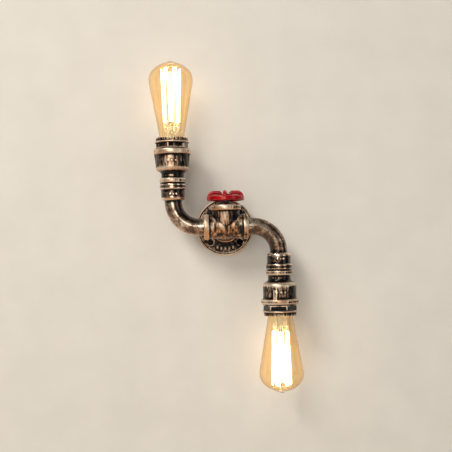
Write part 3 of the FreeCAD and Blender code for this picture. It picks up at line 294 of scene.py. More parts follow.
def markProudness(piece, reach):
    # how far each point stands proud of its smoothed surroundings, in millimetres
    mesh = piece.data
    count = len(mesh.vertices)
    spots, normals = np.empty(count * 3), np.empty(count * 3)
    mesh.vertices.foreach_get("co", spots)
    mesh.vertices.foreach_get("normal", normals)
    spots, normals = spots.reshape(-1, 3), normals.reshape(-1, 3)
    pairs = np.empty(len(mesh.edges) * 2, dtype=np.int32)
    mesh.edges.foreach_get("vertices", pairs)
    ends = np.concatenate((pairs[0::2], pairs[1::2]))
    others = np.concatenate((pairs[1::2], pairs[0::2]))
    degree = np.maximum(np.bincount(ends, minlength=count), 1)
    soft = spots.copy()
    for _ in range(reach):
        for i in range(3):
            around = np.bincount(ends, weights=soft[others, i], minlength=count) / degree
            soft[:, i] = (soft[:, i] + around) / 2
    height = ((spots - soft) * normals).sum(axis=1) / mm
    mesh.attributes.new("proud", "FLOAT", "POINT").data.foreach_set("value", height.astype(np.float32))


def addWearAndPaintedLight(piece, amount, where):
    # adds to the proud value: where the dry brush passed more often, or with a minus where it hardly reached;
    # several calls use it to paint light and shade
    proudMarks = piece.data.attributes["proud"].data
    for vertex, mark in zip(piece.data.vertices, proudMarks):
        if where(vertex.co / mm):
            mark.value += amount


def coatNode(node, material):
    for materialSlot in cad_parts[node].material_slots:
        materialSlot.material = material


sharpAngle = 50  # an edge that turns further than this stays crisp


def finishPiece(piece, material, body, slotName, *nodes):
    # the CAD nodes that it replaces get the same finish
    chooseOnly(piece)
    bpy.ops.object.shade_smooth_by_angle(angle=math.radians(sharpAngle))
    piece.data.materials.clear()
    piece.data.materials.append(material)
    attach(piece, body)
    if nodes:
        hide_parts(*nodes)
    for node in nodes:
        coatNode(node, material)
    print("finished", piece.name, len(piece.data.polygons), "faces")


def arcSpots(centre, radius, first, last, count):
    # corners (across, along) on an arc, angles in degrees from the across direction
    angles = [math.radians(first + (last - first) * i / count) for i in range(count + 1)]
    return [(centre[0] + radius * math.cos(a), centre[1] + radius * math.sin(a)) for a in angles]


# Wall flange and its screws

flange = {
    "outline": [
        (13.2, 0), (42.5, 0, 0.8), (42.5, 6.4, 0.9), (40.4, 6.4, 0.7), (39.2, 4.7, 0.5), (37.6, 4.7, 0.5),
        (36.8, 5.0, 0.4), (21.4, 5.0, 3.0), (21.4, 17, 1.3), (16.7, 17), (16.7, 4.5), (13.2, 4.5),
    ],
    "plate": 5.0, "hole": 2.6, "sink": 5.0, "holeCircle": 31.0, "holeTurns": (45, 135, 225, 315),
    "pips": 5, "pipSize": (2.4, 3.2, 4.6), "pipCircle": 31.6, "pipStep": 11,
    # rings that the brush caught: from, to, how high above the wall, how much
    "rubs": [(39.9, 43, 4, 0.03), (37.9, 39.1, 4, 0.16), (27, 36, 5.6, 0.3)],
}


def holeAxis(turn):
    middle = spotOn(wallAxis, flange["holeCircle"], 0, math.radians(turn))
    return (middle, wallAxis[1], wallAxis[2])


def makeFlange():
    piece = turnPiece("wallFlange", wallAxis, flange["outline"], steps=144)
    plate, hole, sink = flange["plate"], flange["hole"], flange["sink"]
    for i in range(flange["pips"]):
        turn = math.radians(-90 + flange["pipStep"] * (i - (flange["pips"] - 1) / 2))
        addPip(piece, spotOn(wallAxis, flange["pipCircle"], plate, turn), flange["pipSize"])
    outline = [(0, -1), (hole, -1), (hole, plate - (sink - hole)), (sink + 1, plate + 1), (0, plate + 1)]
    cutAway(piece, [
        turnPiece("hole", holeAxis(turn), outline, steps=32, closed=False) for turn in flange["holeTurns"]
    ])
    castSkin(piece, grain=0.6, passes=3)
    markProudness(piece, reach=5)
    for inner, outer, high, amount in flange["rubs"]:
        addWearAndPaintedLight(piece, amount, lambda spot: inner < math.hypot(spot.x, spot.z) < outer and spot.y < -high)
    return piece


wallScrew = {
    "head": 4.7, "shank": 2.2, "crown": 0.5, "sunk": 0.2, "turns": (225, 45, 135),
    "slot": (1.1, 1.2), "slotTurn": 65,
}


def makeWallScrews():
    head, shank, crown = wallScrew["head"], wallScrew["shank"], wallScrew["crown"]
    top = flange["plate"] - wallScrew["sunk"]
    outline = [
        (0, 0.2), (shank, 0.2, 0.4), (shank, top - (head - shank)), (head, top, 0.3),
        (head / 2, top + crown * 0.8), (0, top + crown),
    ]
    wide, deep = wallScrew["slot"]
    screws = []
    for turn in wallScrew["turns"]:
        axis = holeAxis(turn)
        screw = turnPiece("wallScrew", axis, outline, steps=48, grain=0.6, closed=False)
        sizes = (wide, deep * 2, head * 2.4)
        slotBlock = addBlock("slotBlock", spotOn(axis, 0, top + 0.6), sizes, rounding=0.1)
        turnWhole(slotBlock, axis, math.radians(turn + wallScrew["slotTurn"]))
        cutAway(screw, [slotBlock])
        screws.append(screw)
    return joinPieces(screws[0], screws[1:])


# Side-outlet tee

tee = {
    "run": 17.4, "runReach": 32.0, "runBead": 18.3, "runBeadWidth": 7.4,
    "outlet": 19.8, "outletReach": 31.2, "outletBead": 22.2, "outletBeadWidth": 7.9,
    "pipeBore": 12.5, "outletBore": 16.7, "outletDepth": 14.0, "cavity": 13.2,
    # the left run end is made lighter and the right one darker: painted light and painted shade, as light
    # falls from the left
    "beadRubAndShade": 0.06, "beadMargin": 0.6, "leftPaintedLight": 0.06, "rightPaintedShade": -0.08,
    # footPaintedShade darkens a band at the inner foot of each run bead: painted shade
    "footPaintedShade": -0.3, "footBand": (1.6, 0.2),
}


def runEnd(side):
    reach, inner = tee["runReach"], tee["runReach"] - tee["runBeadWidth"]
    return turnPiece(
        "runEnd", (teeMiddle, runAxis[1] * side, runAxis[2]),
        [(0, -8), (tee["run"], -8), (tee["run"], inner, 0.8), (tee["runBead"], inner + 0.9, 1.6),
         (tee["runBead"], reach, 1.9), (0, reach)],
        closed=False,
    )


def outletEnd(axis):
    reach, inner = tee["outletReach"], tee["outletReach"] - tee["outletBeadWidth"]
    return turnPiece(
        "outletEnd", axis,
        [(0, 0), (tee["run"], 0), (tee["outlet"], inner, 0.8), (tee["outletBead"], inner + 0.4, 1.8),
         (tee["outletBead"], reach, 2.0), (0, reach)],
        closed=False,
    )


def bore(axis, low, high, radius):
    outline = [(0, low), (radius, low), (radius, high), (0, high)]
    return turnPiece("bore", axis, outline, steps=64, grain=4, closed=False)


def makeTee():
    parts = [runEnd(1), runEnd(-1), outletEnd(standAxis), outletEnd(backAxis)]
    piece = joinPieces(parts[0], parts[1:])
    piece.name = "sideOutletTee"
    castSkin(piece, grain=0.65, passes=6)
    reach, outletReach = tee["runReach"], tee["outletReach"]
    cutAway(piece, [bore(runAxis, -reach - 2, reach + 2, tee["pipeBore"])])
    for axis in (standAxis, backAxis):
        cutAway(piece, [bore(axis, outletReach - tee["outletDepth"], outletReach + 2, tee["outletBore"])])
    for axis in (standAxis, backAxis):
        cutAway(piece, [bore(axis, 0, outletReach, tee["cavity"])])
    markProudness(piece, reach=9)
    foot, outletFoot = reach - tee["runBeadWidth"], outletReach - tee["outletBeadWidth"]
    margin, (before, after) = tee["beadMargin"], tee["footBand"]
    addWearAndPaintedLight(piece, tee["beadRubAndShade"], lambda spot: abs(spot.x) > foot + margin or spot.z > outletFoot + margin)
    # painted shade at the inner foot of the run beads
    addWearAndPaintedLight(piece, tee["footPaintedShade"], lambda spot: foot - before < abs(spot.x) < foot + after)
    # painted light on the left run end, painted shade on the right one
    addWearAndPaintedLight(piece, tee["leftPaintedLight"], lambda spot: spot.x < -foot)
    addWearAndPaintedLight(piece, tee["rightPaintedShade"], lambda spot: spot.x > foot)
    return piece


# Bonnet in the upper outlet

bonnet = {
    "outline": [
        (5.1, 28.2), (13.2, 28.2), (13.2, 19.0), (16.6, 19.0), (16.6, 30.6, 0.5), (14.2, 30.6, 0.4),
        (14.2, 31.5, 0.5), (9.4, 34.4, 0.8), (5.1, 34.4),
    ],
}


def makeBonnet():
    piece = turnPiece("bonnetPlug", standAxis, bonnet["outline"], grain=0.8)
    markProudness(piece, reach=12)
    return piece


# Handwheel and its screw

wheel = {
    "bottom": 37.4, "rim": 27.0, "rimWidth": 5.6, "rimHeight": 6.6, "rimRound": 2.2,
    "hub": 6.8, "hubHeight": 9.6, "bore": 3.06, "spokes": 4, "spoke": 2.5, "turn": -5,
    "crown": 12.1, "outerBend": 8.0, "innerBend": 3.5,
    "web": 2.8, "webGap": 1.5, "webDrop": 1.2, "webCorner": 4, "webDraw": 3.4,
    # webPaintedShade darkens the web under each arch: painted shade
    "webPaintedShade": -0.7, "webPaintedShadeWidth": 3.4,
}


def makeHandwheel():
    foot, rim, hubRadius, width = wheel["bottom"], wheel["rim"], wheel["hub"], wheel["rimWidth"]
    inner, high, hubTop = rim - width, foot + wheel["rimHeight"], foot + wheel["hubHeight"]
    ring = turnPiece(
        "handwheelRed", standAxis,
        [(inner, foot, 0.9), (rim, foot, 0.9), (rim, high, wheel["rimRound"]),
         (inner, high, wheel["rimRound"])],
        steps=144,
    )
    hub = turnPiece(
        "hub", standAxis,
        [(wheel["bore"], foot), (hubRadius, foot, 0.9), (hubRadius, hubTop, 1.0), (wheel["bore"], hubTop)],
    )
    rimMiddle, spokeFoot, crown = rim - width / 2, foot + wheel["rimHeight"] / 2, foot + wheel["crown"]
    across, outer, near = standAxis[2], wheel["outerBend"], wheel["innerBend"]
    spoke = pullTube(
        "spoke", spotOn(standAxis, rimMiddle, spokeFoot), up, wheel["spoke"],
        [("run", crown - outer - spokeFoot), ("turn", outer, math.pi / 2, -across),
         ("run", rimMiddle - outer - hubRadius - near),
         ("turn", near, math.pi / 2, -up), ("run", crown - near - spokeFoot)],
        steps=24,
    )
    joinPieces(spoke, [makeWeb(rimMiddle, spokeFoot, crown)])
    turns = [fullTurn * i / wheel["spokes"] + math.radians(wheel["turn"]) for i in range(wheel["spokes"])]
    piece = joinPieces(ring, [hub] + copyRound(spoke, standAxis, turns))
    castSkin(piece, grain=0.45, passes=7)
    markProudness(piece, reach=24)

    def onWeb(spot):
        flat = Vector((spot.x, spot.y - teeMiddle.y / mm))
        aside = min(abs(flat.x * math.sin(turn) - flat.y * math.cos(turn)) for turn in turns)
        near, low = aside < wheel["webPaintedShadeWidth"] / 2, spot.z < crown - 2 * wheel["spoke"]
        return near and low and inner > flat.length > hubRadius

    # painted shade on the web under each arch
    addWearAndPaintedLight(piece, wheel["webPaintedShade"], onWeb)
    return piece


def makeWeb(rimMiddle, foot, crown):
    # a plate under the spoke's arch, with its top outer corner drawn in
    hub, gap, drop, cut = wheel["hub"], wheel["webGap"], wheel["webDrop"], wheel["webCorner"]
    web = addBlock(
        "web", spotOn(standAxis, (rimMiddle + hub) / 2, (foot + crown - drop) / 2),
        (rimMiddle - hub - 2 * gap, wheel["web"], crown - foot - drop), rounding=0.6,
    )
    startEdit(web)
    corner = spotOn(standAxis, rimMiddle - cut, crown - cut)
    pick(web, "VERT", lambda v: v.co.x > corner.x and v.co.z > corner.z)
    bpy.ops.transform.translate(value=Vector((-wheel["webDraw"], 0, 0)) * mm)
    endEdit()
    return web


wheelScrew = {"shank": 1.5, "length": 7.4, "washer": 0.6, "head": 3.0, "headHigh": 1.8, "slot": (8, 0.8, 1.8)}


def makeWheelScrew():
    foot = wheel["bottom"] + wheel["hubHeight"] + wheelScrew["washer"]
    top, tip = foot + wheelScrew["headHigh"], foot - wheelScrew["length"]
    head, shank = wheelScrew["head"], wheelScrew["shank"]
    piece = turnPiece(
        "wheelScrew", standAxis,
        [(0, tip), (shank, tip, 0.3), (shank, foot), (head, foot, 0.3), (head, top, 1.0), (0, top)],
        steps=48, grain=0.6, closed=False,
    )
    cutAway(piece, [addBlock("slotBlock", spotOn(standAxis, 0, top), wheelScrew["slot"], rounding=0.08)])
    return piece


# Sweep bends with their sockets

bend = {
    "pipe": 12.4, "wall": 3.0, "radius": 37.5, "start": 55.0,
    "socket": [
        (9.4, 39.0), (17.2, 39.0, 3.4), (17.2, 54.6, 0.6), (18.9, 54.9, 2.3), (18.9, 63.0, 2.3),
        (12.5, 63.0, 0.4), (12.5, 48.0), (9.4, 48.0),
    ],
    "tail": 6.0, "pips": (-3.4, 1.0, 5.4), "pipSize": (2.2, 1.8, 2.2), "pipPlace": (-16.5, 47.5),
    # beadRubAndShade is darker on the lower arm: painted shade, as the light falls from above
    "beadFrom": 54, "beadRubAndShade": {"upper": -0.02, "lower": -0.07}, "jointFrom": 61.8, "jointRub": -0.5,
}


def makeBend(arm):
    axis = armAxis(arm)
    start, along, across = axis
    first, radius = bend["start"], bend["radius"]
    piece = pullTube(
        f"{arm}Bend", start + across * first * mm, -across, bend["pipe"],
        [("run", first - radius), ("turn", radius, math.pi / 2, along), ("run", bend["tail"])],
        steps=64, wall=bend["wall"],
    )
    joinPieces(piece, [turnPiece("socket", axis, bend["socket"])])
    forward, level = bend["pipPlace"]
    for shift in bend["pips"]:  # a row of plain cast pips
        addPip(piece, spotOn(axis, 0, level) + Vector((shift, forward, 0)) * mm, bend["pipSize"])
    castSkin(piece, grain=0.62, passes=4)
    markProudness(piece, reach=26)
    # the lower arm's darker beads are painted shade
    addWearAndPaintedLight(piece, bend["beadRubAndShade"][arm], lambda spot: abs(spot.z) > bend["beadFrom"])
    addWearAndPaintedLight(piece, bend["jointRub"], lambda spot: abs(spot.z) > bend["jointFrom"])
    return piece


# Bell couplings

bell = {
    "smallBead": (18.6, 63.6, 71.2), "neck": (16.2, 76.0), "bell": (24.0, 86.0),
    "band": (26.7, 104.8, 113.0), "bore": (20.8, 90.0), "throat": (17.8, 79.0), "pipeBore": 12.5,
    "ribSize": (5.4, 6.0), "ribReach": (3.5, 1.0), "ribSunk": 0.6, "ribDraw": 3.2,
    "ribTurn": {"upper": -5, "lower": -69},
    "pips": (-5.2, 0, 5.2), "pipSize": (2.4, 1.8, 2.4), "pipLevel": 95, "pipSunk": 0.5,
    # the upper arm's band is made lighter and the lower arm's bead and band darker: painted light and shade
    # from above
    "beadRubAndShade": {"upper": 0, "lower": -0.05}, "bandLightAndShade": {"upper": 0.05, "lower": -0.03},
    "jointRub": -0.5, "jointBands": (1.2, 1.1),
}


def makeCoupling(arm):
    axis = armAxis(arm)
    beadRadius, beadStart, beadEnd = bell["smallBead"]
    neckRadius, neckEnd = bell["neck"]
    bellRadius, bellStart = bell["bell"]
    bandRadius, bandStart, bandEnd = bell["band"]
    boreRadius, boreEnd = bell["bore"]
    throatRadius, throatEnd = bell["throat"]
    half, rise = (bellRadius - neckRadius) / 2, (bellStart - neckEnd) / 2
    sweep = (half * half + rise * rise) / (2 * half)
    spread = math.degrees(math.asin(rise / sweep))
    flareOut = arcSpots((neckRadius + sweep, neckEnd), sweep, 180, 180 - spread, 5)
    flareIn = arcSpots((bellRadius - sweep, bellStart), sweep, -spread, 0, 5)
    outline = [
        (bell["pipeBore"], beadStart), (beadRadius, beadStart, 2.2), (beadRadius, beadEnd, 2.2),
        (neckRadius, beadEnd - 0.2, 0.7), *flareOut, *flareIn[1:], (bellRadius, bandStart, 0.8),
        (bandRadius, bandStart + 0.2, 2.0), (bandRadius, bandEnd, 2.4), (boreRadius, bandEnd, 0.4),
        (boreRadius, boreEnd), (throatRadius, boreEnd), (bell["pipeBore"], throatEnd),
    ]
    piece = turnPiece(f"{arm}Coupling", axis, outline)
    ribTurn = math.radians(bell["ribTurn"][arm])
    joinPieces(piece, [makeRib(axis, turn, bellStart, bandStart) for turn in (ribTurn, ribTurn + math.pi)])
    for shift in bell["pips"]:  # another row, pressed against the bell
        forward = bell["pipSunk"] - math.sqrt(bellRadius ** 2 - shift ** 2)
        middle = spotOn(axis, 0, bell["pipLevel"]) + Vector((shift, forward, 0)) * mm
        addPip(piece, middle, bell["pipSize"])
    castSkin(piece, grain=0.6, passes=4)
    markProudness(piece, reach=26)
    low, high = beadStart + bell["jointBands"][0], bandEnd - bell["jointBands"][1]
    # painted light on the upper arm's band, painted shade on the lower arm's bead and band
    addWearAndPaintedLight(piece, bell["beadRubAndShade"][arm], lambda spot: abs(spot.z) < beadEnd)
    addWearAndPaintedLight(piece, bell["bandLightAndShade"][arm], lambda spot: bandStart < abs(spot.z))
    addWearAndPaintedLight(piece, bell["jointRub"], lambda spot: not low <= abs(spot.z) <= high)
    return piece


def makeRib(axis, turn, foot, top):
    # a block along the bell, whose lower outer edge is drawn in towards the neck
    start, along, across = axis
    root, (below, above), (deep, wide) = bell["bell"][0], bell["ribReach"], bell["ribSize"]
    low, high = foot - below, top + above
    middle = spotOn(axis, root - bell["ribSunk"], (low + high) / 2)
    rib = addBlock("rib", middle, (deep, wide, high - low), rounding=0.7)
    startEdit(rib)

    def isLowOuter(vertex):
        reach = vertex.co - start
        return reach.dot(across) > root * mm and reach.dot(along) < (low + 2) * mm

    pick(rib, "VERT", isLowOuter)
    bpy.ops.transform.translate(value=-across * bell["ribDraw"] * mm)
    endEdit()
    turnWhole(rib, axis, turn)
    return rib


# Holder caps with the castellated rim

cap = {
    "shank": (20.7, 104.0), "boreRadius": 19.0, "hexagon": (24.2, 113.3, 121.3), "lip": (25.2, 121.3, 123.5),
    "crown": (23.6, 22.4, 129.3), "wall": 3.0, "retainer": (15.8, 1.6), "notches": 24, "notchDepth": 4.4,
    "turn": {"upper": 17, "lower": 11}, "nutGap": 0.4, "nutCut": 0.8, "rubFrom": 0.8,
    # the crown is darkened on both arms; the lower arm's extra darkening of crown and nut is painted shade
    # from above
    "crownRubAndShade": {"upper": -0.12, "lower": -0.16}, "nutPaintedShade": {"upper": 0, "lower": -0.05},
}


def makeCap(arm):
    start, along, across = armAxis(arm)
    turn = math.radians(cap["turn"][arm])
    axis = (start, along, across * math.cos(turn) + along.cross(across) * math.sin(turn))
    shankRadius, shankStart = cap["shank"]
    hexRadius, hexStart, hexEnd = cap["hexagon"]
    lipRadius, lipStart, lipEnd = cap["lip"]
    footRadius, rimRadius, rimEnd = cap["crown"]
    retainer, retainerWidth = cap["retainer"]
    notchFloor = rimEnd - cap["notchDepth"]
    innerRim = rimRadius - cap["wall"]
    floorRadius = footRadius + (rimRadius - footRadius) * (notchFloor - lipEnd) / (rimEnd - lipEnd)
    outline = [
        (cap["boreRadius"], shankStart), (shankRadius, shankStart), (shankRadius, lipStart),
        (lipRadius, lipStart, 0.9), (lipRadius, lipEnd, 0.9), (footRadius, lipEnd + 0.1),
        (floorRadius, notchFloor), (innerRim, notchFloor), (innerRim, lipStart + retainerWidth),
        (retainer, lipStart + retainerWidth), (retainer, lipStart), (cap["boreRadius"], lipStart),
    ]
    piece = turnPiece(f"{arm}HolderCap", axis, outline, grain=1.0)
    raiseMerlons(piece, axis, notchFloor, innerRim, rimEnd)
    nut = makeHexagon(axis, hexRadius, hexStart, hexEnd)
    cutAway(nut, [bore(axis, hexStart - 1, hexEnd + 1, cap["boreRadius"] + cap["nutGap"])])
    joinPieces(piece, [nut])
    castSkin(piece, grain=0.42, passes=4)
    markProudness(piece, reach=26)
    # the lower arm's darker crown and nut are painted shade
    addWearAndPaintedLight(piece, cap["crownRubAndShade"][arm], lambda spot: abs(spot.z) > lipEnd + cap["rubFrom"])
    addWearAndPaintedLight(piece, cap["nutPaintedShade"][arm], lambda spot: abs(spot.z) < lipStart)
    return piece


def raiseMerlons(piece, axis, floor, inner, top):
    # the rim is notched by drawing up the faces between the notches, each half a pitch wide
    start, along, side = axis
    third = along.cross(side)
    pitch = 360 / cap["notches"]

    def onMerlon(face):
        spot = face.calc_center_median() - start
        across = math.hypot(spot.dot(side), spot.dot(third))
        level = abs(spot.dot(along) - floor * mm) < 0.05 * mm
        angle = math.degrees(math.atan2(spot.dot(third), spot.dot(side))) % pitch
        upwards = face.normal.dot(along) > 0.9
        return upwards and level and across > inner * mm and pitch / 4 < angle < pitch * 3 / 4

    startEdit(piece)
    pick(piece, "FACE", onMerlon)
    steps = 4
    for _ in range(steps):
        rise = along * (top - floor) / steps * mm
        bpy.ops.mesh.extrude_region_move(TRANSFORM_OT_translate={"value": rise})
    endEdit()


def makeHexagon(axis, radius, low, high):
    nut = addPiece(
        "hexagon", bpy.ops.mesh.primitive_cylinder_add, vertices=6, radius=radius * mm,
        depth=(high - low) * mm, location=spotOn(axis, 0, (low + high) / 2),
    )
    startEdit(nut)
    # the primitive has a corner on Y, so it is turned until a corner lies on the cap's side way
    side = axis[2]
    turnSelected((axis[0], up, side), math.atan2(side.y, side.x) - math.pi / 2)
    bpy.ops.mesh.bevel(offset=cap["nutCut"] * mm, segments=2, affect="EDGES")
    tidyMesh()
    endEdit()
    return nut


# Bulbs: heights run from the tip back to the cap

bulb = {
    "radius": 32.0, "dome": 36.3, "shoulder": 23.0, "pip": (5.4, 1.6), "neck": 17.7, "throat": 12.7,
    "capTop": 115.0, "glassEnd": 119.0, "wall": 0.9,
}


def glassOutline():
    pipRadius, pipHigh = bulb["pip"]
    dome, shoulder, neck = bulb["dome"], bulb["shoulder"], bulb["neck"]
    domeHigh = pipHigh + dome
    centre = bulb["radius"] - shoulder
    drop = math.sqrt((dome - shoulder) ** 2 - centre ** 2)
    meeting = math.degrees(math.atan2(-drop, centre))
    rounding = neck - bulb["throat"]
    neckHigh = bulb["capTop"] - rounding - 0.1
    shoulderHigh = domeHigh - drop
    reach = math.hypot(neck - centre, neckHigh - shoulderHigh)
    leaving = math.degrees(math.atan2(neckHigh - shoulderHigh, neck - centre) - math.acos(shoulder / reach))
    pipStart = -90 + math.degrees(math.asin(pipRadius / dome))
    outline = [(0, 0), (pipRadius * 0.45, 0.05), (pipRadius * 0.8, pipHigh * 0.5)]
    outline += arcSpots((0, domeHigh), dome, pipStart, meeting, 14)
    outline += arcSpots((centre, shoulderHigh), shoulder, meeting, leaving, 26)[1:]
    outline += [(neck, neckHigh)]
    outline += arcSpots((neck - rounding, neckHigh), rounding, 0, 90, 8)[1:]
    outline += [(bulb["throat"], bulb["glassEnd"])]
    return outline


def makeGlass(arm):
    axis = bulbAxis(arm)
    piece = turnPiece(f"{arm}BulbGlass", axis, glassOutline(), grain=2.0, closed=False)
    modify(piece, "SOLIDIFY", thickness=bulb["wall"] * mm, offset=-1)
    return piece


stem = {
    "outline": [
        (0, 5.9), (3.7, 5.9, 0.8), (4.6, 7.1, 0.5), (3.7, 8.3, 0.8), (1.3, 8.3, 0.4), (1.3, 85.0, 1.5),
        (5.2, 90.2, 1.5), (5.2, 113.8, 2.0), (11.8, 118.1, 0.4), (11.8, 119.0), (0, 119.0),
    ],
}


def makeStem(arm):
    return turnPiece(f"{arm}BulbStem", bulbAxis(arm), stem["outline"], steps=48, grain=1.6, closed=False)


cage = {
    "hooks": 6, "top": (13.4, 12.1), "foot": (11.4, 87.1), "button": (4.6, 7.1), "stem": (5.2, 92.2),
    "endShare": 0.12, "hookBend": 2.0, "hookWire": 0.35, "hookGap": 0.2,
    "coil": 1.05, "wire": 0.32, "pitch": 1.3, "loop": 9.0,
}


def cageTurns():
    pitch = fullTurn / cage["hooks"]
    tops = [pitch * i for i in range(cage["hooks"])]
    feet = [pitch * (i - 0.5) for i in range(cage["hooks"] + 1)]
    feet[0] += pitch * cage["endShare"]
    feet[-1] -= pitch * cage["endShare"]
    return tops, feet


def makeHooks(arm):
    axis = bulbAxis(arm)
    _, way, across = axis
    tops, feet = cageTurns()
    curve = cage["hookBend"]
    made = []
    for angles, (hub, level), (reach, end) in (
        (tops, cage["button"], cage["top"]), (feet, cage["stem"], cage["foot"]),
    ):
        hook = pullTube(
            "hook", spotOn(axis, hub, level), across, cage["hookWire"],
            [("run", reach - hub - curve), ("turn", curve, math.pi / 2, way if end > level else -way),
             ("run", abs(end - level) - curve - cage["hookGap"])],
            steps=10,
        )
        made += copyRound(hook, axis, angles)
    piece = joinPieces(made[0], made[1:])
    piece.name = f"{arm}FilamentHooks"
    return piece


def makeFilament(arm):
    # the wire runs from hook to hook and round each hook in a short loop
    axis = bulbAxis(arm)
    tops, feet = cageTurns()
    loop = math.radians(cage["loop"])
    legs = []
    for i, top in enumerate(tops):
        for foot, side in ((feet[i], -1), (feet[i + 1], 1)):
            first = spotOn(axis, *cage["top"], top + side * loop)
            last = spotOn(axis, *cage["foot"], foot - side * loop)
            legs.append(makeCoil(first, last))
    for spot, angles in ((cage["top"], tops), (cage["foot"], feet)):
        for angle in angles:
            legs.append(makeCoil(spotOn(axis, *spot, angle - loop), spotOn(axis, *spot, angle + loop)))
    piece = joinPieces(legs[0], legs[1:])
    piece.name = f"{arm}Filament"
    return piece


def makeCoil(first, last):
    # a small ring drawn into a helix, then laid from hook to hook
    length = (last - first).length
    coil = addPiece("coil", bpy.ops.mesh.primitive_circle_add, vertices=5, radius=cage["wire"] * mm)
    startEdit(coil)
    bpy.ops.transform.rotate(value=math.pi / 2, orient_axis="X", center_override=(0, 0, 0))
    bpy.ops.transform.translate(value=Vector((cage["coil"] - cage["wire"], 0, 0)) * mm)
    endEdit()
    turns = max(1, int(length / (cage["pitch"] * mm)))
    modify(coil, "SCREW", axis="Z", screw_offset=length / turns, iterations=turns, steps=9, render_steps=9)
    layAlong(coil, first, last - first)
    startEdit(coil)
    tidyMesh()
    endEdit()
    return coil


# Threads: one turn of the profile drawn out by the Screw modifier

def addThread(piece, axis, crest, root, pitch, low, high, steps=48):
    start, along, _ = axis
    turns = int((high - low) / pitch)
    # a rounded profile, in shares of the depth and of the pitch
    shoulder, flank = crest - (crest - root) * 0.1, root + (crest - root) * 0.3
    outline = [
        (root, 0), (flank, pitch * 0.14), (shoulder, pitch * 0.36), (crest, pitch * 0.5),
        (shoulder, pitch * 0.64), (flank, pitch * 0.86), (root, pitch),
    ]
    upright = (Vector((0, 0, 0)), up, Vector((1, 0, 0)))
    thread = drawLine("thread", [spotOn(upright, *corner) for corner in outline])
    endEdit()
    modify(
        thread, "SCREW", axis="Z", screw_offset=pitch * mm, iterations=turns, steps=steps, render_steps=steps
    )
    first = low + (high - low - (turns + 1) * pitch) / 2 + pitch / 2
    layAlong(thread, start + along * first * mm, along)
    startEdit(thread)
    tidyMesh()
    endEdit()
    return joinPieces(piece, [thread])


bulbCap = {"crest": 13.1, "root": 12.1, "pitch": 3.63, "thread": (118.0, 134.6), "ends": (115.0, 136.4)}


def makeBulbCap(arm):
    axis = bulbAxis(arm)
    top, end = bulbCap["ends"]
    low, high = bulbCap["thread"]
    root, crest = bulbCap["root"], bulbCap["crest"]
    piece = turnPiece(
        f"{arm}BulbCap", axis,
        [(crest - 0.4, top), (crest, top, 0.15), (crest, low - 0.8, 0.4), (root + 0.1, low, 0.4),
         (root + 0.1, high, 0.4), (crest - 0.2, end - 0.6, 0.4), (crest - 0.2, end), (root - 0.4, end),
         (root - 0.4, low - 0.4), (crest - 0.4, low - 1.2)],
        steps=72, grain=1.4,
    )
    return addThread(piece, axis, crest, root, bulbCap["pitch"], low, high)


wallNipple = {"crest": 16.6, "root": 15.4, "pitch": 2.31, "ends": (4.5, 33.8), "bore": 13.2}


def makeWallNipple():
    low, high = wallNipple["ends"]
    crest, root, hollow = wallNipple["crest"], wallNipple["root"], wallNipple["bore"]
    piece = turnPiece(
        "threadedNipple", wallAxis,
        [(hollow, low, 0.4), (root + 0.05, low, 0.5), (root + 0.05, high, 0.5), (hollow, high, 0.4)],
        steps=72, grain=3,
    )
    return addThread(piece, wallAxis, crest, root, wallNipple["pitch"], low, high, steps=72)


# Finishes

def hexLinear(code):
    parts = [int(code[i:i + 2], 16) / 255 for i in (1, 3, 5)]
    return tuple(p / 12.92 if p <= 0.04045 else ((p + 0.055) / 1.055) ** 2.4 for p in parts) + (1,)


def setStops(band, stops):
    while len(band.elements) < len(stops):
        band.elements.new(0.5)
    for element, (position, colour) in zip(band.elements, stops):
        element.position = position
        element.color = hexLinear(colour)


def feed(node, links):
    # a node given as a source stands for its first output in use
    for name, source in links.items():
        if isinstance(source, bpy.types.Node):
            source = next(output for output in source.outputs if output.enabled)
        node.id_data.links.new(source, node.inputs[name])


def addNode(tree, kind, settings, links):
    # "stops" are the colours of a ramp, "span" the two ends of a range and what they become
    node = tree.nodes.new("ShaderNode" + kind)
    for name, value in settings.items():
        if name == "stops":
            setStops(node.color_ramp, value)
        elif name == "span":
            for socket, end in zip(node.inputs[1:5], value):
                socket.default_value = end
        elif isinstance(name, str) and hasattr(node, name):
            setattr(node, name, value)
        else:
            node.inputs[name].default_value = value
    feed(node, links)
    return node


def newFinish(name, settings):
    # the last value holds the coordinates in millimetres, on which patterns are laid in their real sizes
    material = bpy.data.materials.new(name)
    material.use_nodes = True
    tree = material.node_tree
    shader = tree.nodes["Principled BSDF"]
    for socket, value in settings.items():
        shader.inputs[socket].default_value = value
    place = addNode(tree, "TexCoord", {}, {}).outputs["Object"]
    return material, tree, shader, addNode(tree, "Mapping", {"Scale": (1000, 1000, 1000)}, {"Vector": place})


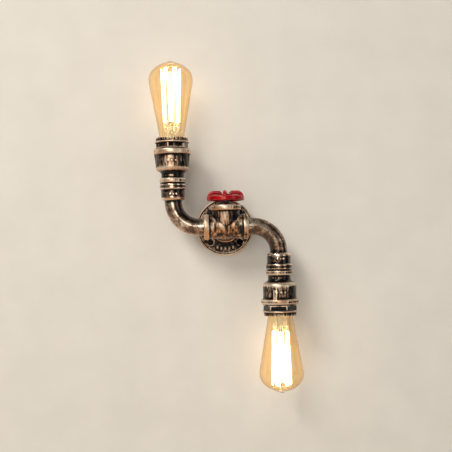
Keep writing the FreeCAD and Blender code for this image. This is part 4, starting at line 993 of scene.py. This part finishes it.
def patinaIron(name, look):
    # cast iron under a black patina, dry-brushed with champagne and copper bronze powder, then lacquered:
    # black in the creases, pale metal on beads and edges, brown where the brush didn't reach;
    # on top, a painted highlight on faces turned to the key lamp and painted warm light on faces turned down
    material, tree, shader, spot = newFinish(
        name, {"Metallic": look["metallic"], "Coat Weight": look["lacquer"], "Coat Roughness": 0.16}
    )
    patches = addNode(
        tree, "TexNoise", {"Scale": 1 / look["patch"], "Detail": 4, "Roughness": 0.6}, {"Vector": spot}
    )
    stretch = addNode(tree, "Mapping", {"Scale": look["brush"]}, {"Vector": spot})
    brush = addNode(
        tree, "TexNoise", {"Scale": 1, "Detail": 4, "Roughness": 0.62, "Distortion": 0.4}, {"Vector": stretch}
    )
    both = addNode(tree, "Mix", {"data_type": "FLOAT", 0: look["patchShare"]}, {2: brush, 3: patches})
    half = look["mottle"] / 2
    mottled = addNode(tree, "MapRange", {"span": (0, 1, 0.5 - half, 0.5 + half)}, {"Value": both})
    proud = addNode(tree, "Attribute", {"attribute_name": "proud"}, {}).outputs["Fac"]
    lifted = addNode(tree, "MapRange", {"span": (-0.3, 0.3, -look["lift"], look["lift"])}, {"Value": proud})
    facing = addNode(tree, "TexCoord", {}, {}).outputs["Normal"]
    # painted highlight: faces turned towards the key lamp are lighter, faces turned away a little darker
    towardsKey = addNode(tree, "VectorMath", {"operation": "DOT_PRODUCT", 1: look["keyLightFrom"]}, {0: facing})
    least, low, high = look["keyLightBand"]
    keyLightPaint = addNode(tree, "MapRange", {"span": (least, 1, low, high)}, {"Value": towardsKey})
    # painted warm light from below: faces turned down are made lighter and more copper
    level = addNode(tree, "SeparateXYZ", {}, {"Vector": facing}).outputs["Z"]
    under = addNode(tree, "MapRange", {"span": (-0.75, 0.1, 1, 0)}, {"Value": level})
    worn = addNode(tree, "Math", {"operation": "ADD"}, {0: mottled, 1: lifted})
    shone = addNode(tree, "Math", {"operation": "ADD"}, {0: worn, 1: keyLightPaint})
    tone = addNode(tree, "Math", {"operation": "MULTIPLY_ADD", 1: look["underTone"]}, {0: under, 2: shone})
    ramp = addNode(tree, "ValToRGB", {"stops": look["stops"]}, {"Fac": tone})
    copper = addNode(
        tree, "TexNoise", {"Scale": 1 / look["copperPatch"], "Detail": 3, "Roughness": 0.55}, {"Vector": spot}
    )
    copperAndLightBelow = addNode(tree, "Math", {"operation": "MULTIPLY_ADD", 1: look["under"]}, {0: under, 2: copper})
    copperShare = addNode(
        tree, "MapRange", {"span": (0.46, 0.74, 0.08, look["copperShare"])}, {"Value": copperAndLightBelow}
    )
    tinted = addNode(
        tree, "Mix", {"data_type": "RGBA", "blend_type": "MULTIPLY", 7: hexLinear(look["copper"])},
        {0: copperShare, 6: ramp},
    )
    crease = addNode(tree, "MapRange", {"span": (-0.06, -look["creaseDepth"], 0, 0.9)}, {"Value": proud})
    grimed = addNode(tree, "Mix", {"data_type": "RGBA", 7: hexLinear(look["grime"])}, {0: crease, 6: tinted})
    pale, dark = look["rough"]
    dullness = addNode(tree, "MapRange", {"span": (0.3, 0.7, dark, pale)}, {"Value": tone})
    sand = addNode(tree, "TexNoise", {"Scale": 1 / 1.1, "Detail": 3, "Roughness": 0.6}, {"Vector": spot})
    relief = addNode(tree, "Mix", {"data_type": "FLOAT", 0: 0.45}, {2: sand, 3: brush})
    bump = addNode(tree, "Bump", {"Strength": look["bump"], "Distance": 0.25 * mm}, {"Height": relief})
    feed(shader, {"Base Color": grimed, "Roughness": dullness, "Normal": bump})
    return material


# patches and creases in millimetres, brush strokes in cycles per millimetre, stops as tone and shade
castLook = {
    "patch": 11, "patchShare": 0.3, "brush": (0.4, 0.4, 0.06), "mottle": 1, "lift": 0.48,
    # keyLightFrom points half way between the key lamp and the camera; keyLightBand sets the painted
    # highlight
    "keyLightFrom": (-0.3, -0.87, 0.39), "keyLightBand": (0.45, -0.08, 0.1), "underTone": 0.03,
    "stops": [(0.47, "#080604"), (0.55, "#271c15"), (0.6, "#8d735a"), (0.68, "#efdcc4")],
    # under and underTone set the painted warm light on faces turned down
    "copper": "#cc8f5a", "copperPatch": 17, "under": 0.2, "copperShare": 0.7,
    "creaseDepth": 0.5, "grime": "#0a0705",
    "metallic": 0.75, "lacquer": 0.3, "rough": (0.38, 0.32), "bump": 0.5,
}
flangeLook = {
    "patch": 5, "brush": (0.25, 0.25, 0.25), "keyLightBand": (0.45, -0.02, 0.03), "lift": 0.5, "creaseDepth": 1.6,
}
teeLook = {
    # a stronger painted warm light on the tee's underside
    "brush": (0.3, 0.3, 0.05), "lift": 0.5, "under": 0.5, "underTone": 0.14,
    "copper": "#d6944a", "copperShare": 0.8, "creaseDepth": 1.2,
}
capLook = {"brush": (0.3, 0.3, 0.12), "lift": 0.75, "creaseDepth": 0.3}
pipeLook = {
    # a narrow, strong painted highlight band along the pipes
    "patch": 24, "brush": (0.13, 0.13, 0.13), "mottle": 0.6, "keyLightBand": (0.82, -0.05, 0.15),
    "stops": [(0.43, "#080504"), (0.51, "#251a14"), (0.59, "#7a614d"), (0.68, "#faead4")],
    "under": 0.4, "underTone": 0.05, "metallic": 0.92, "lacquer": 0.8, "rough": (0.24, 0.28), "bump": 0.14,
}
bonnetLook = {
    "stops": [(0.35, "#080605"), (0.55, "#14100d"), (0.75, "#2b231d"), (0.95, "#6a5c50")], "lift": 0.2,
}
flangeIron = patinaIron("patinatedFlangeIron", {**castLook, **flangeLook})
teeIron = patinaIron("patinatedTeeIron", {**castLook, **teeLook})
couplingIron = patinaIron("patinatedCouplingIron", castLook)
capIron = patinaIron("patinatedCapIron", {**castLook, **capLook})
pipeIron = patinaIron("rubbedPipeIron", {**castLook, **pipeLook})
bonnetIron = patinaIron("blackenedBonnetIron", {**castLook, **bonnetLook})


def makeRedEnamel():
    # stove enamel sprayed over cast iron: deep gloss red, faintly wavy, with a painted highlight in pale pink
    # on proud edges and painted shade in near-black red in the corners and on the spoke webs
    material, tree, shader, spot = newFinish("glossRedEnamel", {
        "Roughness": 0.35, "IOR": 1.5, "Specular IOR Level": 0.15, "Coat Weight": 0.6, "Coat Roughness": 0.06,
    })
    cloud = addNode(tree, "TexNoise", {"Scale": 1 / 9, "Detail": 3, "Roughness": 0.5}, {"Vector": spot})
    reds = [(0.3, "#7e0006"), (0.5, "#aa0009"), (0.7, "#ca040f")]
    colour = addNode(tree, "ValToRGB", {"stops": reds}, {"Fac": cloud})
    proud = addNode(tree, "Attribute", {"attribute_name": "proud"}, {}).outputs["Fac"]
    # pale pink on proud edges is a painted highlight, near-black red in the hollows is painted shade
    edges, corners = (0.2, 0.6, 0.4, "#f04a50"), (0.05, -0.3, 0.92, "#260103")
    for first, last, share, tint in (edges, corners):
        much = addNode(tree, "MapRange", {"span": (first, last, 0, share)}, {"Value": proud})
        colour = addNode(tree, "Mix", {"data_type": "RGBA", 7: hexLinear(tint)}, {0: much, 6: colour})
    peel = addNode(tree, "TexNoise", {"Scale": 1 / 2.6, "Detail": 2}, {"Vector": spot})
    bump = addNode(tree, "Bump", {"Strength": 0.18, "Distance": 0.2 * mm}, {"Height": peel})
    feed(shader, {"Base Color": colour, "Coat Normal": bump, "Normal": bump})
    return material


def makeAmberGlass():
    # blown soda-lime glass with a light baked amber tint: clear, deeper where the wall is seen edge on
    material, tree, shader, spot = newFinish(
        "amberBulbGlass", {"Roughness": 0.0, "IOR": 1.46, "Transmission Weight": 0.975}
    )
    cloud = addNode(tree, "TexNoise", {"Scale": 1 / 30, "Detail": 2}, {"Vector": spot})
    edgeOn = addNode(tree, "LayerWeight", {"Blend": 0.3}, {}).outputs["Facing"]
    depth = addNode(tree, "Math", {"operation": "MULTIPLY_ADD", 1: 0.2}, {0: cloud, 2: edgeOn})
    ambers = [(0.05, "#fff4de"), (0.45, "#fce8c0"), (1.0, "#d68f3e")]
    feed(shader, {"Base Color": addNode(tree, "ValToRGB", {"stops": ambers}, {"Fac": depth})})
    return material


def makeGlowingWire():
    # carbon wire at a yellow-white heat, a shade cooler in places along its coils
    material, tree, shader, spot = newFinish(
        "glowingFilament", {"Roughness": 0.6, "Base Color": hexLinear("#3a2a1c"), "Emission Strength": 20}
    )
    heat = addNode(tree, "TexNoise", {"Scale": 1 / 14, "Detail": 2}, {"Vector": spot})
    glow = addNode(tree, "ValToRGB", {"stops": [(0.3, "#ffe9c4"), (0.7, "#fff3dc")]}, {"Fac": heat})
    feed(shader, {"Emission Color": glow})
    return material


def tradeFinish(name, low, high, patch, rough, bumpGrain, bumpStrength, settings):
    # hidden fittings: two close shades in soft patches over the fine grain that the making leaves
    material, tree, shader, spot = newFinish(name, settings)
    cloud = addNode(tree, "TexNoise", {"Scale": 1 / patch, "Detail": 3}, {"Vector": spot})
    ramp = addNode(tree, "ValToRGB", {"stops": [(0.35, low), (0.65, high)]}, {"Fac": cloud})
    least, most = rough
    dull = addNode(tree, "MapRange", {"span": (0.3, 0.7, least, most)}, {"Value": cloud})
    grain = addNode(tree, "TexNoise", {"Scale": 1 / bumpGrain, "Detail": 2}, {"Vector": spot})
    bump = addNode(tree, "Bump", {"Strength": bumpStrength, "Distance": 0.1 * mm}, {"Height": grain})
    feed(shader, {"Base Color": ramp, "Roughness": dull, "Normal": bump})
    return material


redEnamel = makeRedEnamel()
amberGlass = makeAmberGlass()
glowingWire = makeGlowingWire()

# name, two shades, patches in millimetres, roughness from and to, grain in millimetres and its strength
metal = {"Metallic": 1}
# electroplated and passivated: an even, slightly blue shine
zincSteel = tradeFinish("zincPlatedSteel", "#9fa2a3", "#c3c5c4", 5, (0.25, 0.4), 0.8, 0.2, metal)
# blackened in a hot bath and oiled: dull, with a brown cast
blackSteel = tradeFinish("blackOxideSteel", "#211d1a", "#3a342f", 4, (0.35, 0.5), 0.8, 0.25, metal)
# cut by a die and left bare: grey, with fine tool marks
cutThread = tradeFinish("cutThreadSteel", "#57524c", "#8b847b", 4, (0.35, 0.55), 0.9, 0.3, metal)
# pressed and moulded plastics: a dark half gloss, a milky white and a dull rubber black
switchBlack = tradeFinish("phenolicSwitch", "#15130f", "#221e19", 8, (0.35, 0.5), 1.2, 0.2, {"IOR": 1.55})
blockCream = tradeFinish("nylonTerminalBlock", "#d8d2c2", "#e5dfd0", 7, (0.4, 0.55), 1.0, 0.15, {"IOR": 1.53})
sleeveBlack = tradeFinish("siliconeSleeve", "#1c1b1a", "#2c2a28", 4, (0.55, 0.7), 0.7, 0.35, {"IOR": 1.41})
# glazed and fired: a hard wet shine on a warm white
porcelain = tradeFinish("glazedPorcelain", "#e9e5da", "#f4f1e8", 10, (0.12, 0.22), 3.0, 0.08, {"IOR": 1.52})
# drawn from sheet: warm yellow, faintly streaked
shellBrass = tradeFinish("drawnBrass", "#b8924a", "#d2ad62", 5, (0.22, 0.36), 1.0, 0.2, metal)
# poured hot into the cap: black and almost mirror smooth
capGlass = tradeFinish("blackCapGlass", "#0d0c10", "#1b1920", 4, (0.08, 0.16), 1.5, 0.1, {"IOR": 1.52})
# set in a drop: pale and a little lumpy
solder = tradeFinish("tinSolder", "#a6a7a6", "#bfc0be", 3, (0.3, 0.5), 0.9, 0.4, metal)
# drawn thin, nickel; its bright golden colour is painted light from the glow beside it
hookWire = tradeFinish("glowTintedNickelWire", "#c49a52", "#e0bd78", 2, (0.2, 0.32), 0.6, 0.15, metal)
# drawn from rod in a flame: clear, seen by its glints
clear = {"IOR": 1.5, "Transmission Weight": 1.0}
stemGlass = tradeFinish("clearStemGlass", "#f1efe6", "#fbfaf4", 6, (0.0, 0.04), 2.0, 0.05, clear)
print("finishes mixed")


# Each piece made, finished and set on its body

finishPiece(makeFlange(), flangeIron, "fixture", "flange_iron", "wall_flange")
finishPiece(makeWallScrews(), blackSteel, "fixture", "plated_steel")
finishPiece(makeWallNipple(), cutThread, "fixture", "threaded_steel", "wall_nipple")
finishPiece(makeTee(), teeIron, "fixture", "tee_iron", "tee")
finishPiece(makeBonnet(), bonnetIron, "fixture", "bonnet_iron", "bonnet")
finishPiece(makeHandwheel(), redEnamel, "wheel", "wheel_paint", "handwheel")
finishPiece(makeWheelScrew(), zincSteel, "wheel", "plated_steel", "wheel_screw")
for arm in arms:
    finishPiece(makeBend(arm), pipeIron, "fixture", "pipe_iron", f"{arm}_bend")
    finishPiece(makeCoupling(arm), couplingIron, "fixture", "coupling_iron", f"{arm}_coupling")
    finishPiece(makeCap(arm), capIron, "fixture", "cap_iron", f"{arm}_holder_cap")
    body = f"{arm}_bulb"
    glass = makeGlass(arm)
    glass.visible_shadow = glass.visible_diffuse = False  # lets the glow lamp out to the wall
    finishPiece(glass, amberGlass, body, "bulb_glass", f"{arm}_bulb_glass")
    finishPiece(makeStem(arm), stemGlass, body, "stem_glass", f"{arm}_bulb_stem")
    finishPiece(makeHooks(arm), hookWire, body, "hook_wire", f"{arm}_filament_hooks")
    filament = makeFilament(arm)
    filament.visible_diffuse = False  # the glow lamp lights matt surfaces in its place
    finishPiece(filament, glowingWire, body, "filament_wire", f"{arm}_filament")
    finishPiece(makeBulbCap(arm), shellBrass, body, "shell_brass", f"{arm}_bulb_cap")

# the CAD nodes that stay
nodeFinishes = {
    "bonnet_nut": bonnetIron, "switch_body": switchBlack, "switch_lead": sleeveBlack,
    "terminal_block": blockCream, "terminal_screws": zincSteel, "switch_spindle": zincSteel,
    "wheel_washer": zincSteel,
}
armFinishes = {
    "nipple": cutThread, "holder": porcelain, "screw_shell": shellBrass, "contact": shellBrass,
    "lead": sleeveBlack, "cap_insulator": capGlass, "cap_tip": solder,
}
nodeFinishes.update({f"{arm}_{part}": finish for arm in arms for part, finish in armFinishes.items()})
for node, finish in nodeFinishes.items():
    coatNode(node, finish)
print("frame nodes finished")


# Wall, floor, lamps and camera

stageLook = {
    "wall": 0.0006, "floor": -0.46, "size": 4.0, "plaster": 60,
    # hole: the near-black of the painted shade disc behind the empty screw hole
    "paint": ("#e9e5de", "#eeeae3"), "hole": ("#0d0b0a", "#171412"), "holeTurn": 315,
}


def makePlaster(name, low, high):
    # matt painted plaster, seen from the room side only
    material, tree, shader, spot = newFinish(name, {"Roughness": 0.85, "Specular IOR Level": 0.2})
    cloud = addNode(tree, "TexNoise", {"Scale": 1 / stageLook["plaster"], "Detail": 2}, {"Vector": spot})
    paint = addNode(tree, "ValToRGB", {"stops": [(0.3, low), (0.7, high)]}, {"Fac": cloud})
    feed(shader, {"Base Color": paint})
    behind = addNode(tree, "NewGeometry", {}, {}).outputs["Backfacing"]
    clear = addNode(tree, "BsdfTransparent", {}, {})
    split = addNode(tree, "MixShader", {}, {0: behind, 1: shader, 2: clear})
    feed(tree.nodes["Material Output"], {"Surface": split})
    return material


def makeStage():
    plaster = makePlaster("paintedPlaster", *stageLook["paint"])
    holeShade = makePlaster("paintedHoleShade", *stageLook["hole"])
    wall, floor, size = stageLook["wall"], stageLook["floor"], stageLook["size"]
    upright = (math.pi / 2, 0, 0)
    addPlane = bpy.ops.mesh.primitive_plane_add
    boards = [
        addPiece("wallBoard", addPlane, size=size, location=(0, wall, floor + size / 2), rotation=upright),
        addPiece("floorBoard", addPlane, size=size, location=(0, wall - size / 2, floor)),
    ]
    for board in boards:
        board.data.materials.append(plaster)
        board.visible_shadow = False  # lets the spot behind the wall reach the flange
    # a near-black disc behind the hole that has no screw in it: painted shade of the hole's depth
    place = spotOn(wallAxis, flange["holeCircle"], -0.3, math.radians(stageLook["holeTurn"]))
    shadeDisc = addPiece(
        "holeShadeDisc", bpy.ops.mesh.primitive_circle_add, vertices=32, radius=flange["hole"] * mm,
        fill_type="NGON", location=place, rotation=upright,
    )
    shadeDisc.data.materials.append(holeShade)


def addLamp(name, kind, place, watts, colour="#ffffff", **settings):
    # aimed at the middle of the flange's back
    bpy.ops.object.light_add(type=kind, location=place)
    lamp = bpy.context.object
    lamp.name = name
    lamp.data.energy = watts
    lamp.data.color = hexLinear(colour)[:3]
    for setting, value in settings.items():
        setattr(lamp.data, setting, value)
    lamp.rotation_euler = (-Vector(place)).to_track_quat("-Z", "Y").to_euler()
    return lamp


def addPanel(name, place, wide, high, watts, colour):
    return addLamp(name, "AREA", place, watts, colour, shape="RECTANGLE", size=wide, size_y=high)


backSpot = {"place": (0.3, 0.55, 0.35), "width": 0.08, "watts": 8, "size": 0.02}


def addBackSpot():
    # behind the wall, in a cone no wider than the flange, so that only the flange's back is lit
    place = backSpot["place"]
    cone = 2 * math.atan(backSpot["width"] / 2 / Vector(place).length)
    addLamp("backSpot", "SPOT", place, backSpot["watts"], spot_size=cone, shadow_soft_size=backSpot["size"])


glow = {"level": 48, "watts": 0.06, "colour": "#ffc884", "size": 0.012}


def addGlowLamp(arm):
    # stands for the light of the glowing cage, which is too fine a source to sample well
    tip, way, _ = bulbAxis(arm)
    place = tip + way * glow["level"] * mm
    watts, colour = glow["watts"], glow["colour"]
    lamp = addLamp(f"{arm}GlowLamp", "POINT", place, watts, colour, shadow_soft_size=glow["size"])
    lamp.visible_camera = lamp.visible_transmission = lamp.visible_glossy = False


# as the photograph was taken: millimetres from the middle of the tee, the roll in degrees
camera = {"lens": 63.4, "sensor": 36, "place": (-44.1, -1142.6, -21.8), "aim": (-0.1, 0, 1.0), "roll": 1.3}


def addCamera():
    place, aim = Vector(camera["place"]), Vector(camera["aim"])
    look = (aim - place).to_track_quat("-Z", "Y") @ Quaternion((0, 0, 1), -math.radians(camera["roll"]))
    bpy.ops.object.camera_add(location=teeMiddle + place * mm, rotation=look.to_euler())
    eye = bpy.context.object
    eye.name = "photoCamera"
    eye.data.lens = camera["lens"]
    eye.data.sensor_width = camera["sensor"]
    eye.data.clip_start = 0.01
    bpy.context.scene.camera = eye


makeStage()
# place, width and height in metres, then watts
addPanel("keyLamp", (-1.3, -1.8, 1.7), 0.8, 0.8, 38, "#fff8ee")
addPanel("fillLamp", (1.2, -1.1, 0.1), 0.5, 1.2, 2.6, "#fbf8f6")
frontLamp = addPanel("frontLamp", (-0.35, -1.6, 0.4), 0.7, 0.8, 6.8, "#fffaf2")
frontLamp.visible_transmission = False  # seen from behind through a bulb it would fill the glass with white
addBackSpot()
for arm in arms:
    addGlowLamp(arm)
sky = bpy.data.worlds.new("studio")
sky.use_nodes = True
background = sky.node_tree.nodes["Background"]
background.inputs["Color"].default_value = hexLinear("#e6e6e4")
background.inputs["Strength"].default_value = 0.09  # a faint even light from all round
bpy.context.scene.world = sky
addCamera()
bpy.context.scene.view_settings.view_transform = "Standard"
